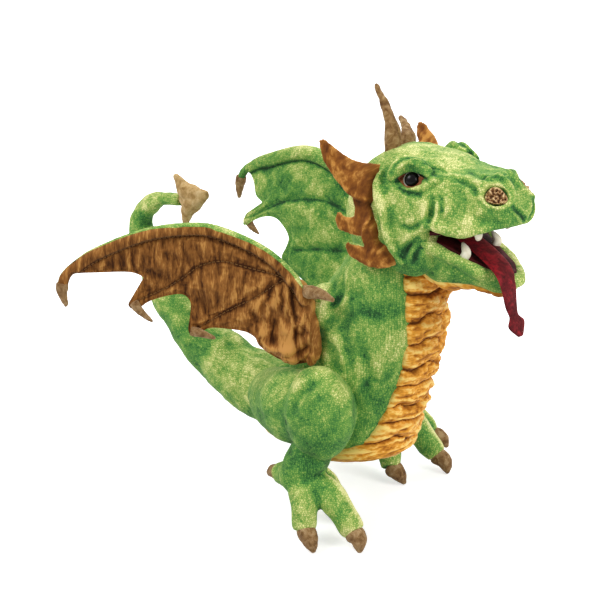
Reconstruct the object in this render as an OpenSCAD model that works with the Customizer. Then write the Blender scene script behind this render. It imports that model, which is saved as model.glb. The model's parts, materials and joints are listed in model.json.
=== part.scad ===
// Moving mouth puppet: a stuffed dragon that is worn on the hand.
// +X is the way it faces, +Y is its left, +Z is up and the floor is at Z = 0.

/* [Trunk] */
// Height of the arm opening above the floor
opening_z = 50; // [46:1:60]
// Length of the trunk from the arm opening to the neck
trunk_h = 172; // [158:1:190]
// Half the width of the trunk at the hips
trunk_half_w = 59; // [54:0.5:66]
// Reach that the trunk's back and front are shares of
trunk_reach = 100; // [92:0.5:108]
// Rise of the arm opening's rim from its back to its front
rim_rise = 14; // [0:1:20]
// Radius of the arm tunnel
arm_r = 31; // [26:0.5:33]
// Place of the arm tunnel's axis along X
arm_x = 25; // [22:1:27]
// Thickness of the bound hem round the arm opening
hem_t = 2.5; // [1.5:0.5:3.5]
// Height of the bound hem
hem_h = 14; // [8:1:20]

/* [Belly] */
// Half the angle that the belly panel covers
belly_angle = 50; // [35:1:60]
// Thickness of the belly panel
belly_t = 5; // [3:0.5:6]
// Number of gathered puckers on the belly
belly_puckers = 7; // [4:1:10]
// Depth of the puckers
pucker_depth = 3; // [0:0.5:4]

/* [Neck] */
// Length of the neck
neck_h = 40; // [32:1:50]
// Half the width of the neck at its top
neck_half_w = 51; // [46:0.5:56]
// Radius of the tunnel at the top of the neck
wrist_r = 30; // [25:0.5:33]
// Place of the nod axis along X
nod_x = 60; // [54:1:66]
// Angle left free for nodding, each way
nod_room = 11; // [8:0.5:14]

/* [Head] */
// Length of the head behind the nod axis
head_back = 40; // [34:1:46]
// Length of the head in front of the nod axis
head_front = 135; // [120:1:150]
// Height of the crown over the neck
crown_h = 110; // [100:1:125]
// Half the width of the head at the cheeks
head_half_w = 51; // [46:0.5:58]
// Thickness of the stuffed side of the head
cheek_t = 13; // [9:0.5:16]
// Length of a horn
horn_l = 62; // [45:1:80]
// Radius of a horn at its base
horn_r = 7; // [5:0.5:9]
// Radius of an eye
eye_r = 8.5; // [6:0.5:11]
// Radius of a nostril
nostril_r = 11; // [8:0.5:13]

/* [Mouth] */
// Place of the jaw hinge in front of the nod axis
hinge_dx = 52; // [48:1:58]
// Height of the jaw hinge over the neck
hinge_dz = 38; // [34:1:44]
// Angle of the mouth's roof above level
roof_tilt = 10; // [6:0.5:14]
// Angle of the mouth's floor below level
floor_tilt = 23; // [18:0.5:28]
// Thickness of each mouth board
board_t = 2; // [1.5:0.25:3]
// Thickness of the mouth lining
lining_t = 2; // [1.5:0.25:3]
// Length of the lower jaw from its hinge
jaw_l = 86; // [76:1:94]
// Depth of the lower jaw at its back
jaw_depth = 40; // [32:1:44]
// Half the width of the lower jaw at its back
jaw_half_w = 40; // [34:0.5:46]
// Length of a fang
fang_l = 13; // [8:0.5:15]
// Width of the tongue
tongue_w = 22; // [14:0.5:26]
// Thickness of the tongue
tongue_t = 3; // [2:0.25:5]

/* [Wings] */
// Span of a wing from its root seam to its tip
wing_span = 234; // [200:1:260]
// Spread of the right wing, away from straight back
right_spread = 37; // [25:1:55]
// Spread of the left wing, away from straight back
left_spread = 6; // [0:1:35]
// Lift of the left wing's tip
left_lift = 10; // [0:1:15]
// Thickness of the wing's back cloth
wing_back_t = 3; // [2:0.25:4]
// Thickness of the wing's lining
wing_lining_t = 3; // [2:0.25:4]
// Radius of the stuffed leading edge
wing_arm_r = 7; // [5:0.5:9]
// Radius of a wing finger
finger_r = 3.5; // [2.5:0.25:5]

/* [Legs] */
// Height of the hip over the floor
hip_z = 124; // [112:1:136]
// Place of the hip along X
hip_x = 22; // [14:1:30]
// Half the length of the thigh
thigh_rx = 50; // [42:0.5:56]
// Half the height of the thigh
thigh_rz = 46; // [40:0.5:52]
// Width of the thigh out from the hip
thigh_w = 48; // [40:0.5:56]
// Length of the middle toe from the ankle
toe_l = 64; // [54:1:74]
// Radius of a toe
toe_r = 11; // [8:0.5:13]
// Radius of the ankle
ankle_r = 20; // [16:0.5:24]
// Length of a claw
claw_l = 20; // [14:0.5:26]
// Distance that the left foot stands behind the right one
left_step = 34; // [0:1:40]

/* [Tail] */
// Radius of the tail at its root
tail_r = 38; // [33:0.5:41]
// Reach of the tail behind its root
tail_reach = 212; // [180:1:230]
// Height of the tail's tip over its root
tail_rise = 185; // [160:1:210]
// Length of the barb
barb_l = 36; // [28:1:46]
// Angle left free for the tail's swing, each way
tail_room = 15; // [10:1:20]

/* [Clearances] */
// Gap between pieces that move
gap = 0.5; // [0.3:0.1:1]
// Gap between pieces that are sewn together
stitch = 0.1; // [0.05:0.05:0.2]
// Room behind a gathered panel
panel_room = 0.6; // [0.3:0.1:1]
// Depth that a sewn-on piece sinks into the plush
sink = 2; // [1:0.25:3]

/* [Hidden] */
$fn = 48;
LEFT = 1;
RIGHT = -1;

green = "#6fae4a";
dark_green = "#4f9a4c";
gold = "#c4862c";
brown_gold = "#9a642c";
tan_brown = "#a08458";
claw_brown = "#7d6244";
mouth_red = "#4a0c10";
tongue_red = "#7c1020";
cream = "#efe6d0";
board_grey = "#8d8d88";

// Heights that follow from the trunk and the neck
trunk_top = opening_z + trunk_h;
neck_bottom = trunk_top + gap;
neck_top = neck_bottom + neck_h;
hinge_x = nod_x + hinge_dx;
hinge_z = neck_top + hinge_dz;
mouth_stack = board_t + lining_t + 2 * stitch;
snout_x = nod_x + head_front;

// The hip planes, and the wing seams on the trunk's sides
hip_y = trunk_half_w + gap;
wing_x = 10;
wing_y = trunk_half_w + 2;
wing_low = opening_z + trunk_h * 0.61;
wing_high = opening_z + trunk_h * 0.98;
wing_mid = (wing_low + wing_high) / 2;
wing_t = wing_back_t + wing_lining_t + stitch;

// The ankle, and the tail's root on the trunk's back; the left leg stands a step behind
function leg_x(side) = hip_x - (side > 0 ? left_step * 0.5 : 0);
ankle_back = 18;
ankle_y = hip_y + thigh_w * 0.62;
ankle_z = hip_z * 0.36;
tail_root_x = -59;
tail_root_z = opening_z + tail_r - 1;

// The frame's origin is under the middle of the whole puppet
tail_end_x = tail_root_x - tail_reach - 0.5 * tail_r;
wing_reach = wing_y + wing_span * sin(right_spread) + wing_arm_r * cos(right_spread);
left_foot_reach = ankle_y + 0.34 * toe_l + claw_l * 0.55 + 2;
left_wing_reach = wing_y + wing_span * sin(left_spread) + wing_arm_r;
frame_x = (snout_x + tail_end_x) / 2;
frame_y = (max(left_foot_reach, left_wing_reach) - wing_reach) / 2;

module in_frame() translate([-frame_x, -frame_y, 0]) children();

// Numbers between the rows of a table, on a smooth curve; the first number of a row is its key
function values(row) = [for (j = [1 : len(row) - 1]) row[j]];
function row_before(table, key) = max([for (i = [0 : len(table) - 2]) table[i][0] <= key ? i : 0]);
function slope(table, i) =
    let (before = max(i - 1, 0))
    let (after = min(i + 1, len(table) - 1))
    (values(table[after]) - values(table[before])) / (table[after][0] - table[before][0]);
function curve(table, key) =
    let (i = row_before(table, key))
    let (step = table[i + 1][0] - table[i][0])
    let (t = (key - table[i][0]) / step)
    values(table[i]) * (2 * t ^ 3 - 3 * t ^ 2 + 1)
    + slope(table, i) * step * (t ^ 3 - 2 * t ^ 2 + t)
    + values(table[i + 1]) * (3 * t ^ 2 - 2 * t ^ 3)
    + slope(table, i + 1) * step * (t ^ 3 - t ^ 2);
function keyed(points) = [for (i = [0 : len(points) - 1]) concat([i], points[i])];
function along(points, count) =
    [for (i = [0 : count]) curve(keyed(points), i * (len(points) - 1) / count)];

function unit(v) = v / norm(v);
function mean(points) = [for (v = points) 1] * points / len(points);
function signed_power(v, p) = sign(v) * pow(abs(v), p);

// Rings of a round tube along a path; radii has one radius for each point
function ring_at(centre, way, side, r, sides) =
    let (a = unit(cross(side, way)))
    let (b = cross(unit(way), a))
    [for (k = [0 : sides - 1]) centre + r * (a * cos(360 * k / sides) + b * sin(360 * k / sides))];
function way_at(path, i) = path[min(i + 1, len(path) - 1)] - path[max(i - 1, 0)];
function tube_rings(path, radii, side, sides) =
    [for (i = [0 : len(path) - 1]) ring_at(path[i], way_at(path, i), side, radii[i], sides)];

// Triangles between two rows of points, and over a closed or open grid of them
function quad(a, b, c, d) = [[a, b, c], [a, c, d]];
function skin_faces(rows, count, closed, first) =
    [for (i = [0 : rows - 2], j = [0 : closed ? count - 1 : count - 2])
        let (a = first + i * count + j)
        let (b = first + i * count + (j + 1) % count)
        each quad(a, a + count, b + count, b)];
function flipped(faces) = [for (f = faces) [f[0], f[2], f[1]]];

// A closed solid through rings of points; each ring turns left about the way on
module loft(rings) {
    rows = len(rings);
    count = len(rings[0]);
    last = (rows - 1) * count;
    hub = rows * count;
    points = concat([for (ring = rings) each ring], [mean(rings[0]), mean(rings[rows - 1])]);
    start = [for (j = [0 : count - 1]) [hub, j, (j + 1) % count]];
    end = [for (j = [0 : count - 1]) [hub + 1, last + (j + 1) % count, last + j]];
    polyhedron(points, concat(skin_faces(rows, count, true, 0), start, end), convexity = 8);
}

// A pipe between two sets of rings
module pipe(outer, inner) {
    rows = len(outer);
    count = len(outer[0]);
    size = rows * count;
    last = (rows - 1) * count;
    points = concat([for (ring = outer) each ring], [for (ring = inner) each ring]);
    start = [for (j = [0 : count - 1])
        let (n = (j + 1) % count)
        each quad(j, n, size + n, size + j)];
    end = [for (j = [0 : count - 1])
        let (n = (j + 1) % count)
        each quad(last + n, last + j, size + last + j, size + last + n)];
    outside = skin_faces(rows, count, true, 0);
    inside = flipped(skin_faces(rows, count, true, size));
    polyhedron(points, concat(outside, inside, start, end), convexity = 8);
}

// A thick sheet between two grids of points that match
module sheet(outer, inner) {
    rows = len(outer);
    count = len(outer[0]);
    size = rows * count;
    last = (rows - 1) * count;
    points = concat([for (row = outer) each row], [for (row = inner) each row]);
    start = [for (j = [0 : count - 2]) each quad(j, j + 1, size + j + 1, size + j)];
    end = [for (j = [0 : count - 2])
        each quad(last + j + 1, last + j, size + last + j, size + last + j + 1)];
    right = [for (i = [0 : rows - 2])
        let (a = i * count)
        each quad(a + count, a, size + a, size + a + count)];
    left = [for (i = [0 : rows - 2])
        let (a = i * count + count - 1)
        each quad(a, a + count, size + a + count, size + a)];
    outside = skin_faces(rows, count, false, 0);
    inside = flipped(skin_faces(rows, count, false, size));
    polyhedron(points, concat(outside, inside, start, end, right, left), convexity = 8);
}

// Trunk: rows of height, back, front and half width, as shares of its height, reach and half width
trunk_table = [
    [0.00, -0.24, 0.67, 0.74],
    [0.09, -0.44, 0.73, 0.88],
    [0.20, -0.56, 0.78, 0.97],
    [0.33, -0.58, 0.83, 1.00],
    [0.50, -0.54, 0.90, 1.00],
    [0.67, -0.42, 0.98, 0.98],
    [0.84, -0.26, 1.04, 0.94],
    [1.00, -0.14, 1.05, 0.88]
];
side_steps = 24;
front_steps = 10;

// A point on the trunk or neck: the share is of an oval, and the inset is measured inwards
function oval_point(back, front, half_w, angle, inset, z) =
    let (a = (front - back) / 2 - inset)
    [(front + back) / 2 + a * cos(angle), (half_w - inset) * sin(angle), z];
function trunk_point(t, angle, inset) =
    let (v = curve(trunk_table, t))
    let (rise = rim_rise * (1 + cos(angle)) / 2 * (1 - t) ^ 3)
    oval_point(v[0] * trunk_reach, v[1] * trunk_reach, v[2] * trunk_half_w, angle, inset,
        opening_z + t * trunk_h + rise);
front_angles = [for (k = [0 : front_steps]) belly_angle * (2 * k / front_steps - 1)];
panel_angles = front_angles * (1 - panel_room / (belly_angle * PI / 180 * neck_half_w));
side_angles = [for (k = [0 : side_steps]) belly_angle + (360 - 2 * belly_angle) * k / side_steps];

module body_skin() {
    levels = [for (i = [0 : 16]) i / 16];
    rings = [for (t = levels) concat(
        [for (a = front_angles) trunk_point(t, a, belly_t + panel_room)],
        [for (a = side_angles) trunk_point(t, a, 0)])];
    color(green) in_frame() difference() {
        loft(rings);
        translate([arm_x, 0, opening_z - 1]) cylinder(r = arm_r, h = trunk_h + 2);
        translate([arm_x, 0, opening_z - 1]) cylinder(r = arm_r + hem_t + stitch, h = rim_rise + hem_h + 1);
    }
}

// Scalloped swelling of the gathered velour
function pucker(t, count) = pucker_depth * abs(sin(180 * count * t));

module belly_panel() {
    rows = belly_puckers * 5;
    outer = [for (i = [0 : rows]) [for (a = panel_angles)
        trunk_point(i / rows, a, pucker_depth * 0.6 - pucker(i / rows, belly_puckers) * cos(a))]];
    inner = [for (i = [0 : rows]) [for (a = panel_angles) trunk_point(i / rows, a, belly_t)]];
    color(gold) in_frame() sheet(outer, inner);
}

module arm_hem() {
    color(brown_gold) in_frame() translate([arm_x, 0, opening_z + rim_rise - stitch]) difference() {
        cylinder(r = arm_r + hem_t, h = hem_h);
        translate([0, 0, -1]) cylinder(r = arm_r, h = hem_h + 2);
    }
}

// Tabs that the wings are sewn to
tab_t = 3;
module wing_tab(side) {
    inner_y = trunk_half_w * 0.8;
    outer_y = wing_y - wing_t / 2 - gap - 1;
    color(dark_green) in_frame() translate([wing_x - tab_t / 2, side > 0 ? inner_y : -outer_y, wing_low + 4])
        cube([tab_t, outer_y - inner_y, wing_high - wing_low - 12]);
}
module left_wing_tab() wing_tab(LEFT);
module right_wing_tab() wing_tab(RIGHT);

// Neck: it takes the trunk's top oval up to the oval under the head
neck_back = nod_x - neck_half_w * 0.8627;
neck_front = nod_x + neck_half_w * 0.8824;
function neck_point(t, angle, inset) =
    let (v = curve(trunk_table, 1))
    let (back = v[0] * trunk_reach)
    let (front = v[1] * trunk_reach)
    let (w = v[2] * trunk_half_w)
    oval_point(back + (neck_back - back) * t, front + (neck_front - front) * t,
        w + (neck_half_w - w) * t, angle, inset, neck_bottom + t * neck_h);
function neck_bore_point(t, angle) =
    let (r = arm_r + (wrist_r - arm_r) * t)
    [arm_x + (nod_x - arm_x) * t + r * cos(angle), r * sin(angle), neck_bottom + t * neck_h];

module neck_skin() {
    levels = [for (i = [0 : 4]) i / 4];
    outer = [for (t = levels) concat(
        [for (a = front_angles) neck_point(t, a, belly_t + panel_room)],
        [for (a = side_angles) neck_point(t, a, 0)])];
    inner = [for (t = levels) [for (a = concat(front_angles, side_angles)) neck_bore_point(t, a)]];
    color(green) in_frame() pipe(outer, inner);
}

neck_puckers = 2;
module neck_panel() {
    rows = neck_puckers * 5;
    outer = [for (i = [0 : rows]) [for (a = panel_angles)
        neck_point(i / rows, a, pucker_depth * 0.6 - pucker(i / rows, neck_puckers) * cos(a))]];
    inner = [for (i = [0 : rows]) [for (a = panel_angles) neck_point(i / rows, a, belly_t)]];
    color(gold) in_frame() sheet(outer, inner);
}

// Head: rows of place along X as a share, top as a share of the crown, and half width as a share
head_table = [
    [0.00, 0.56, 0.36],
    [0.06, 0.73, 0.74],
    [0.14, 0.87, 0.91],
    [0.24, 0.96, 0.99],
    [0.34, 1.00, 1.00],
    [0.45, 0.98, 0.98],
    [0.56, 0.95, 0.91],
    [0.65, 0.92, 0.82],
    [0.74, 0.92, 0.74],
    [0.83, 0.93, 0.70],
    [0.91, 0.87, 0.62],
    [0.97, 0.75, 0.46],
    [1.00, 0.65, 0.24]
];
head_l = head_back + head_front;
function head_x(t) = nod_x - head_back + t * head_l;
function roof_z(x) = hinge_z + (x - hinge_x) * tan(roof_tilt) + mouth_stack / cos(roof_tilt) + stitch;
function head_floor(x) =
    x <= hinge_x ? neck_top + gap + abs(x - nod_x) * tan(nod_room) : roof_z(x);
function head_top(t) = neck_top + crown_h * curve(head_table, t)[0];
function head_half(t) = head_half_w * curve(head_table, t)[1];
arch_steps = 18;
arch_round = 0.75;

// A point on the arch over X: the angle runs from the right edge over the top to the left edge
function arch_point(x, half_w, low, top, angle) =
    [x, -half_w * signed_power(cos(angle), arch_round), low + (top - low) * pow(sin(angle), 0.9)];
arch_angles = [for (k = [0 : arch_steps]) 180 * k / arch_steps];
function head_point(t, angle) =
    arch_point(head_x(t), head_half(t), head_floor(head_x(t)), head_top(t), angle);

// The hollow for the hand: it narrows towards the snout and stops before its tip
hollow_start = 0.08;
hollow_end = 0.84;
finger_room = 21;
palm_room = 62;
function hollow_point(t, angle) =
    let (u = hollow_start + t * (hollow_end - hollow_start))
    let (x = head_x(u))
    let (low = head_floor(x))
    let (room = x <= hinge_x ? palm_room : finger_room)
    arch_point(x, max(head_half(u) - cheek_t, 5), low, min(low + room, head_top(u) - cheek_t), angle);

module head_skin() {
    hinge_share = (hinge_x - head_x(0)) / head_l;
    back_rows = [for (i = [0 : 8]) hinge_share * i / 8];
    front_rows = [for (i = [0 : 10]) hinge_share + 0.006 + (1 - hinge_share - 0.006) * i / 10];
    outer_rows = concat(back_rows, front_rows);
    hollow_hinge = (hinge_share - hollow_start) / (hollow_end - hollow_start);
    hollow_back = [for (i = [0 : 8]) hollow_hinge * i / 8];
    hollow_front = [for (i = [0 : 10]) hollow_hinge + 0.008 + (1 - hollow_hinge - 0.008) * i / 10];
    hollow_rows = concat(hollow_back, hollow_front);
    outer = [for (t = outer_rows) [for (a = arch_angles) head_point(t, a)]];
    inner = [for (t = hollow_rows) [for (a = arch_angles) hollow_point(t, a)]];
    color(green) in_frame() sheet(inner, outer);
}

// The head's own frames: one turned to the mouth's roof, one to its floor, both at the jaw hinge
module on_roof() translate([hinge_x, 0, hinge_z]) rotate([0, -roof_tilt, 0]) children();
module on_floor() translate([hinge_x, 0, hinge_z]) rotate([0, floor_tilt, 0]) children();

// Plates of the mouth: the outline narrows to a round front
mouth_start = 12;
module mouth_outline(length, back_w, front_w) {
    hull() {
        translate([mouth_start, -back_w]) square([1, 2 * back_w]);
        translate([length - front_w, 0]) circle(r = front_w, $fn = 32);
    }
}
roof_l = (snout_x - 8 - hinge_x) / cos(roof_tilt);
roof_front = head_half_w * 0.5;
roof_back = head_half_w * 0.86;
module upper_mouth_lining() {
    color(mouth_red) in_frame() on_roof() linear_extrude(lining_t)
        mouth_outline(roof_l, roof_back, roof_front);
}
module upper_mouth_board() {
    color(board_grey) in_frame() on_roof() translate([0, 0, lining_t + stitch]) linear_extrude(board_t)
        mouth_outline(roof_l - 3, roof_back - 3, roof_front - 1);
}

// Fangs: a pair of stuffed cones that hang from the roof or stand on the floor
module fang_pair(x, y, way) {
    for (side = [LEFT, RIGHT])
        translate([x, side * y, 0]) mirror([0, 0, way > 0 ? 0 : 1])
            rotate([side * 8, 0, 0]) translate([0, 0, 1]) cylinder(r1 = fang_l * 0.36, r2 = 1, h = fang_l);
}
module upper_fangs() {
    color(cream) in_frame() on_roof() fang_pair(roof_l * 0.82, roof_front * 0.95, -1);
}
module lower_fangs() {
    color(cream) in_frame() on_floor() fang_pair(jaw_l * 0.575, jaw_half_w * 0.585, 1);
}

// Jaw: rows of place along the floor as a share, half width and depth as shares
jaw_table = [
    [0.00, 1.00, 1.00],
    [0.30, 0.93, 0.88],
    [0.60, 0.78, 0.68],
    [0.85, 0.56, 0.44],
    [1.00, 0.28, 0.24]
];
jaw_lean = 0.85;
jaw_top = -mouth_stack - stitch;
function jaw_point(t, angle, wall_w, wall_d) =
    let (v = curve(jaw_table, t))
    let (down = (v[1] * jaw_depth - wall_d) * pow(sin(angle), 0.85))
    [mouth_start + t * (jaw_l - mouth_start) + down * jaw_lean * (1 - t),
        (v[0] * jaw_half_w - wall_w) * signed_power(cos(angle), 0.8), jaw_top - down];
jaw_wall = 7;
thumb_end = 0.72;
throat_t = 3;

module jaw_skin() {
    rows = [for (i = [0 : 9]) i / 9];
    outer = [for (t = rows) [for (a = arch_angles) jaw_point(t, a, 0, throat_t)]];
    inner = [for (t = rows) [for (a = arch_angles)
        jaw_point(t * thumb_end, a, jaw_wall, jaw_wall + throat_t + 2)]];
    color(green) in_frame() on_floor() sheet(inner, outer);
}

module throat_panel() {
    rows = [for (i = [0 : 14]) i / 14 * 0.9];
    angles = [for (k = [0 : 8]) 55 + 70 * k / 8];
    outer = [for (t = rows) [for (a = angles)
        jaw_point(t, a, 0, abs(sin(180 * 4 * t)) * -1.5)]];
    inner = [for (t = rows) [for (a = angles) jaw_point(t, a, 0, throat_t - panel_room)]];
    color(gold) in_frame() on_floor() sheet(inner, outer);
}

module lower_mouth_lining() {
    color(mouth_red) in_frame() on_floor() translate([0, 0, -lining_t]) linear_extrude(lining_t)
        mouth_outline(jaw_l - 1, jaw_half_w - 2, jaw_half_w * 0.4);
}
module lower_mouth_board() {
    color(board_grey) in_frame() on_floor() translate([0, 0, -lining_t - stitch - board_t])
        linear_extrude(board_t) mouth_outline(jaw_l - 4, jaw_half_w - 4, jaw_half_w * 0.4 - 1);
}

// Tongue: its middle line lies on the mouth's floor and hangs over the jaw's front, right of the middle
tongue_root = 18;
tongue_drift = -7;
tongue_lift = tongue_t / 2 + gap + 0.5;
tongue_line = [
    [tongue_root, 0, tongue_lift],
    [jaw_l * 0.44, tongue_drift * 0.15, tongue_lift + 1],
    [jaw_l * 0.75, tongue_drift * 0.5, tongue_lift + 1],
    [jaw_l + 1, tongue_drift * 0.9, tongue_lift],
    [jaw_l + 9, tongue_drift, -7],
    [jaw_l + 15, tongue_drift, -20],
    [jaw_l + 26, tongue_drift, -38]
];
// Rows of place along the tongue as a share, and width as a share
tongue_table = [
    [0.00, 1.00], [0.50, 0.92], [0.74, 0.72], [0.80, 0.74], [0.86, 1.10], [0.93, 0.70], [1.00, 0.12]
];
module tongue() {
    count = 28;
    line = along(tongue_line, count);
    cross_steps = 4;
    rows = [for (i = [0 : count])
        let (way = unit(way_at(line, i)))
        let (up = cross(way, [0, 1, 0]))
        let (half = tongue_w / 2 * curve(tongue_table, i / count)[0])
        [for (k = [0 : cross_steps]) [line[i] + [0, half * (1 - 2 * k / cross_steps), 0], up]]];
    outer = [for (row = rows) [for (p = row) p[0] - p[1] * tongue_t / 2]];
    inner = [for (row = rows) [for (p = row) p[0] + p[1] * tongue_t / 2]];
    color(tongue_red) in_frame() on_floor() sheet(inner, outer);
}

// Places on the head's side: share along the head and angle on its arch, for the left side
function on_head(t, angle) = head_point(t, 180 - angle);
function head_normal(t, angle) =
    let (across = on_head(t, angle + 3) - on_head(t, angle - 3))
    let (along_head = on_head(t + 0.02, angle) - on_head(t - 0.02, angle))
    unit(cross(across, along_head));
eye_t = 0.41;
eye_angle = 52;
nostril_t = 0.86;
nostril_angle = 50;

// Turn +Z to a direction and move to a place, on the left or mirrored to the right
module facing(place, way) {
    translate(place) rotate([0, acos(way[2]), atan2(way[1], way[0])]) children();
}
module on_side(side) in_frame() mirror([0, side > 0 ? 0 : 1, 0]) children();
module at_eye(side) on_side(side) facing(on_head(eye_t, eye_angle), head_normal(eye_t, eye_angle)) children();

patch_t = 1.5;
module eye_patch(side) {
    color("#7a4030") at_eye(side) translate([0, 0, -sink]) linear_extrude(sink + patch_t) intersection() {
        translate([eye_r * 1.1, 0]) circle(r = eye_r * 2.4);
        translate([-eye_r * 1.1, 0]) circle(r = eye_r * 2.4);
    }
}
module left_eye_patch() eye_patch(LEFT);
module right_eye_patch() eye_patch(RIGHT);

shank_r = 2.5;
shank_l = 8;
dome_h = eye_r * 0.62;
module eye(side) {
    dome_r = (eye_r ^ 2 + dome_h ^ 2) / (2 * dome_h);
    color("#101010") at_eye(side) translate([0, 0, patch_t + stitch]) {
        intersection() {
            translate([0, 0, dome_h - dome_r]) sphere(r = dome_r);
            cylinder(r = eye_r, h = dome_h + 1);
        }
        translate([0, 0, -shank_l]) cylinder(r = shank_r, h = shank_l + 0.5);
    }
}
module left_eye() eye(LEFT);
module right_eye() eye(RIGHT);

module eye_washer(side) {
    color("#d8d8d8") at_eye(side) translate([0, 0, patch_t - shank_l + 1]) difference() {
        cylinder(r = eye_r * 0.9, h = 1.6);
        translate([0, 0, -1]) cylinder(r = shank_r + 0.05, h = 4);
    }
}
module left_eye_washer() eye_washer(LEFT);
module right_eye_washer() eye_washer(RIGHT);

// Eyelid: a rolled ridge over the eye that sweeps on towards the snout
module eyelid(side) {
    line = along([
        on_head(eye_t - 0.08, eye_angle + 2) + [0, 1, 1],
        on_head(eye_t - 0.02, eye_angle + 14) + [0, 2, 2],
        on_head(eye_t + 0.05, eye_angle + 15) + [0, 2, 2],
        on_head(eye_t + 0.14, eye_angle + 9) + [0, 0, 0]
    ], 12);
    radii = [for (i = [0 : 12]) 2.2 + 3.6 * sin(180 * (0.1 + 0.72 * i / 12))];
    color(dark_green) on_side(side) loft(tube_rings(line, radii, [0, 1, 0], 10));
}
module left_eyelid() eyelid(LEFT);
module right_eyelid() eyelid(RIGHT);

// Nostril: an oval pocket with a rolled rim
nostril_rim = 3;
module nostril(side) {
    color(claw_brown) on_side(side)
        facing(on_head(nostril_t, nostril_angle), head_normal(nostril_t, nostril_angle)) {
            rotate_extrude() translate([nostril_r - nostril_rim, 0]) circle(r = nostril_rim, $fn = 16);
            translate([0, 0, -nostril_rim]) cylinder(r = nostril_r - nostril_rim, h = nostril_rim + 0.5);
        }
}
module left_nostril() nostril(LEFT);
module right_nostril() nostril(RIGHT);

// Horn: it leans back and curves up to a blunt point
horn_t = 0.20;
horn_angle = 83;
// The right horn stands up, and the left one is bent back and out
horn_leans = [[-0.26, -0.12, 0.95], [-0.50, 0.50, 0.30]];
module horn(side) {
    base = on_head(horn_t, horn_angle);
    lean = horn_l * horn_leans[side > 0 ? 1 : 0];
    line = along([
        base - [0, 0, sink + 3],
        base + [lean[0] * 0.12, lean[1] * 0.2, lean[2] * 0.36],
        base + [lean[0] * 0.5, lean[1] * 0.6, lean[2] * 0.7],
        base + lean
    ], 10);
    radii = [for (i = [0 : 10]) horn_r * (1 - 0.8 * pow(i / 10, 1.3))];
    color(tan_brown) on_side(side) loft(tube_rings(line, radii, [0, 1, 0], 12));
}
module left_horn() horn(LEFT);
module right_horn() horn(RIGHT);

// Frill: it is sewn on down the cheek, and its edge has three points
frill_t = 4;
frill_count = 12;
frill_roots = [for (k = [0 : frill_count]) on_head(0.31 + 0.16 * k / frill_count, 50 - 46 * k / frill_count)];
// Places on the edge, from the nod axis at the top of the neck
frill_edge = [
    [6, 44, 88], [-16, 62, 95], [-31, 73, 115], [-27, 70, 80], [-9, 62, 64], [2, 56, 64],
    [-18, 65, 49], [-6, 60, 35], [12, 54, 31], [-10, 62, 21], [-2, 60, 11], [25, 54, 5], [38, 50, 9]
];
module frill(side) {
    edge = [for (p = frill_edge) p + [nod_x, 0, neck_top]];
    root = [for (p = frill_roots) p - [0, sink, 0]];
    middle = [for (k = [0 : frill_count]) (edge[k] + root[k]) / 2 + [0, 3, 0]];
    front_rows = [edge, middle, root];
    back_rows = [for (row = front_rows) [for (p = row) p - frill_t * [0.8, 0.6, 0]]];
    color(gold) on_side(side) sheet(back_rows, front_rows);
}
module left_frill() frill(LEFT);
module right_frill() frill(RIGHT);

// Wings: a flat pattern, u outwards from the root seam and v up, in shares of the span
function w(u, v) = wing_span * [u, v];
wing_lead = [w(0, 0.18), w(0.06, 0.27), w(0.17, 0.37), w(0.33, 0.445), w(0.45, 0.465), w(0.64, 0.44),
    w(0.84, 0.36), w(0.985, 0.255)];
wing_points = [w(0.95, 0.225), w(0.70, 0.12), w(0.47, 0.015), w(0.02, -0.095)];
wing_sags = [0.075, 0.06, 0.075];
wrist = w(0.10, 0.26);
function sagged(a, b, depth, count) =
    let (across = [b[1] - a[1], a[0] - b[0]] / norm(b - a))
    [for (i = [0 : count - 1])
        a + (b - a) * i / count + across * depth * wing_span * sin(180 * i / count)];
wing_edge = along(wing_lead, 21);
function inwards(line, by) = [for (i = [0 : len(line) - 1])
    let (way = way_at(line, i) / norm(way_at(line, i)))
    line[i] + by * [way[1], -way[0]]];
wing_outline = concat(
    inwards(wing_edge, wing_arm_r),
    sagged(wing_points[0], wing_points[1], wing_sags[0], 7),
    sagged(wing_points[1], wing_points[2], wing_sags[1], 6),
    sagged(wing_points[2], wing_points[3], wing_sags[2], 8),
    [wing_points[3]]);
wing_root_gap = 3;

// Wing frame: X along the span, Y out of the lining, Z up, with the seam's middle at the origin
module on_wing(side) {
    spread = side > 0 ? left_spread : right_spread;
    lift = side > 0 ? left_lift : 0;
    in_frame() translate([wing_x, side * wing_y, wing_mid])
        rotate([0, 0, 180 - side * spread]) mirror([0, side > 0 ? 1 : 0, 0])
            rotate([0, -lift, 0]) children();
}
module wing_cloth(low, thick) {
    translate([wing_root_gap, low + thick, 0]) rotate([90, 0, 0]) linear_extrude(thick) polygon(wing_outline);
}
module wing_back(side) color(dark_green) on_wing(side) wing_cloth(-wing_t / 2, wing_back_t);
module wing_lining(side) {
    color(brown_gold) on_wing(side) wing_cloth(wing_t / 2 - wing_lining_t, wing_lining_t);
}
function in_wing(p, out) = [p[0] + wing_root_gap, out, p[1]];

module wing_arm(side) {
    line = [for (p = wing_edge) in_wing(p, 0)];
    radii = [for (i = [0 : 21]) wing_arm_r - stitch - 3 * max(0, i / 21 - 0.6)];
    color(brown_gold) on_wing(side) loft(tube_rings(line, radii, [0, 1, 0], 12));
}

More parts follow.
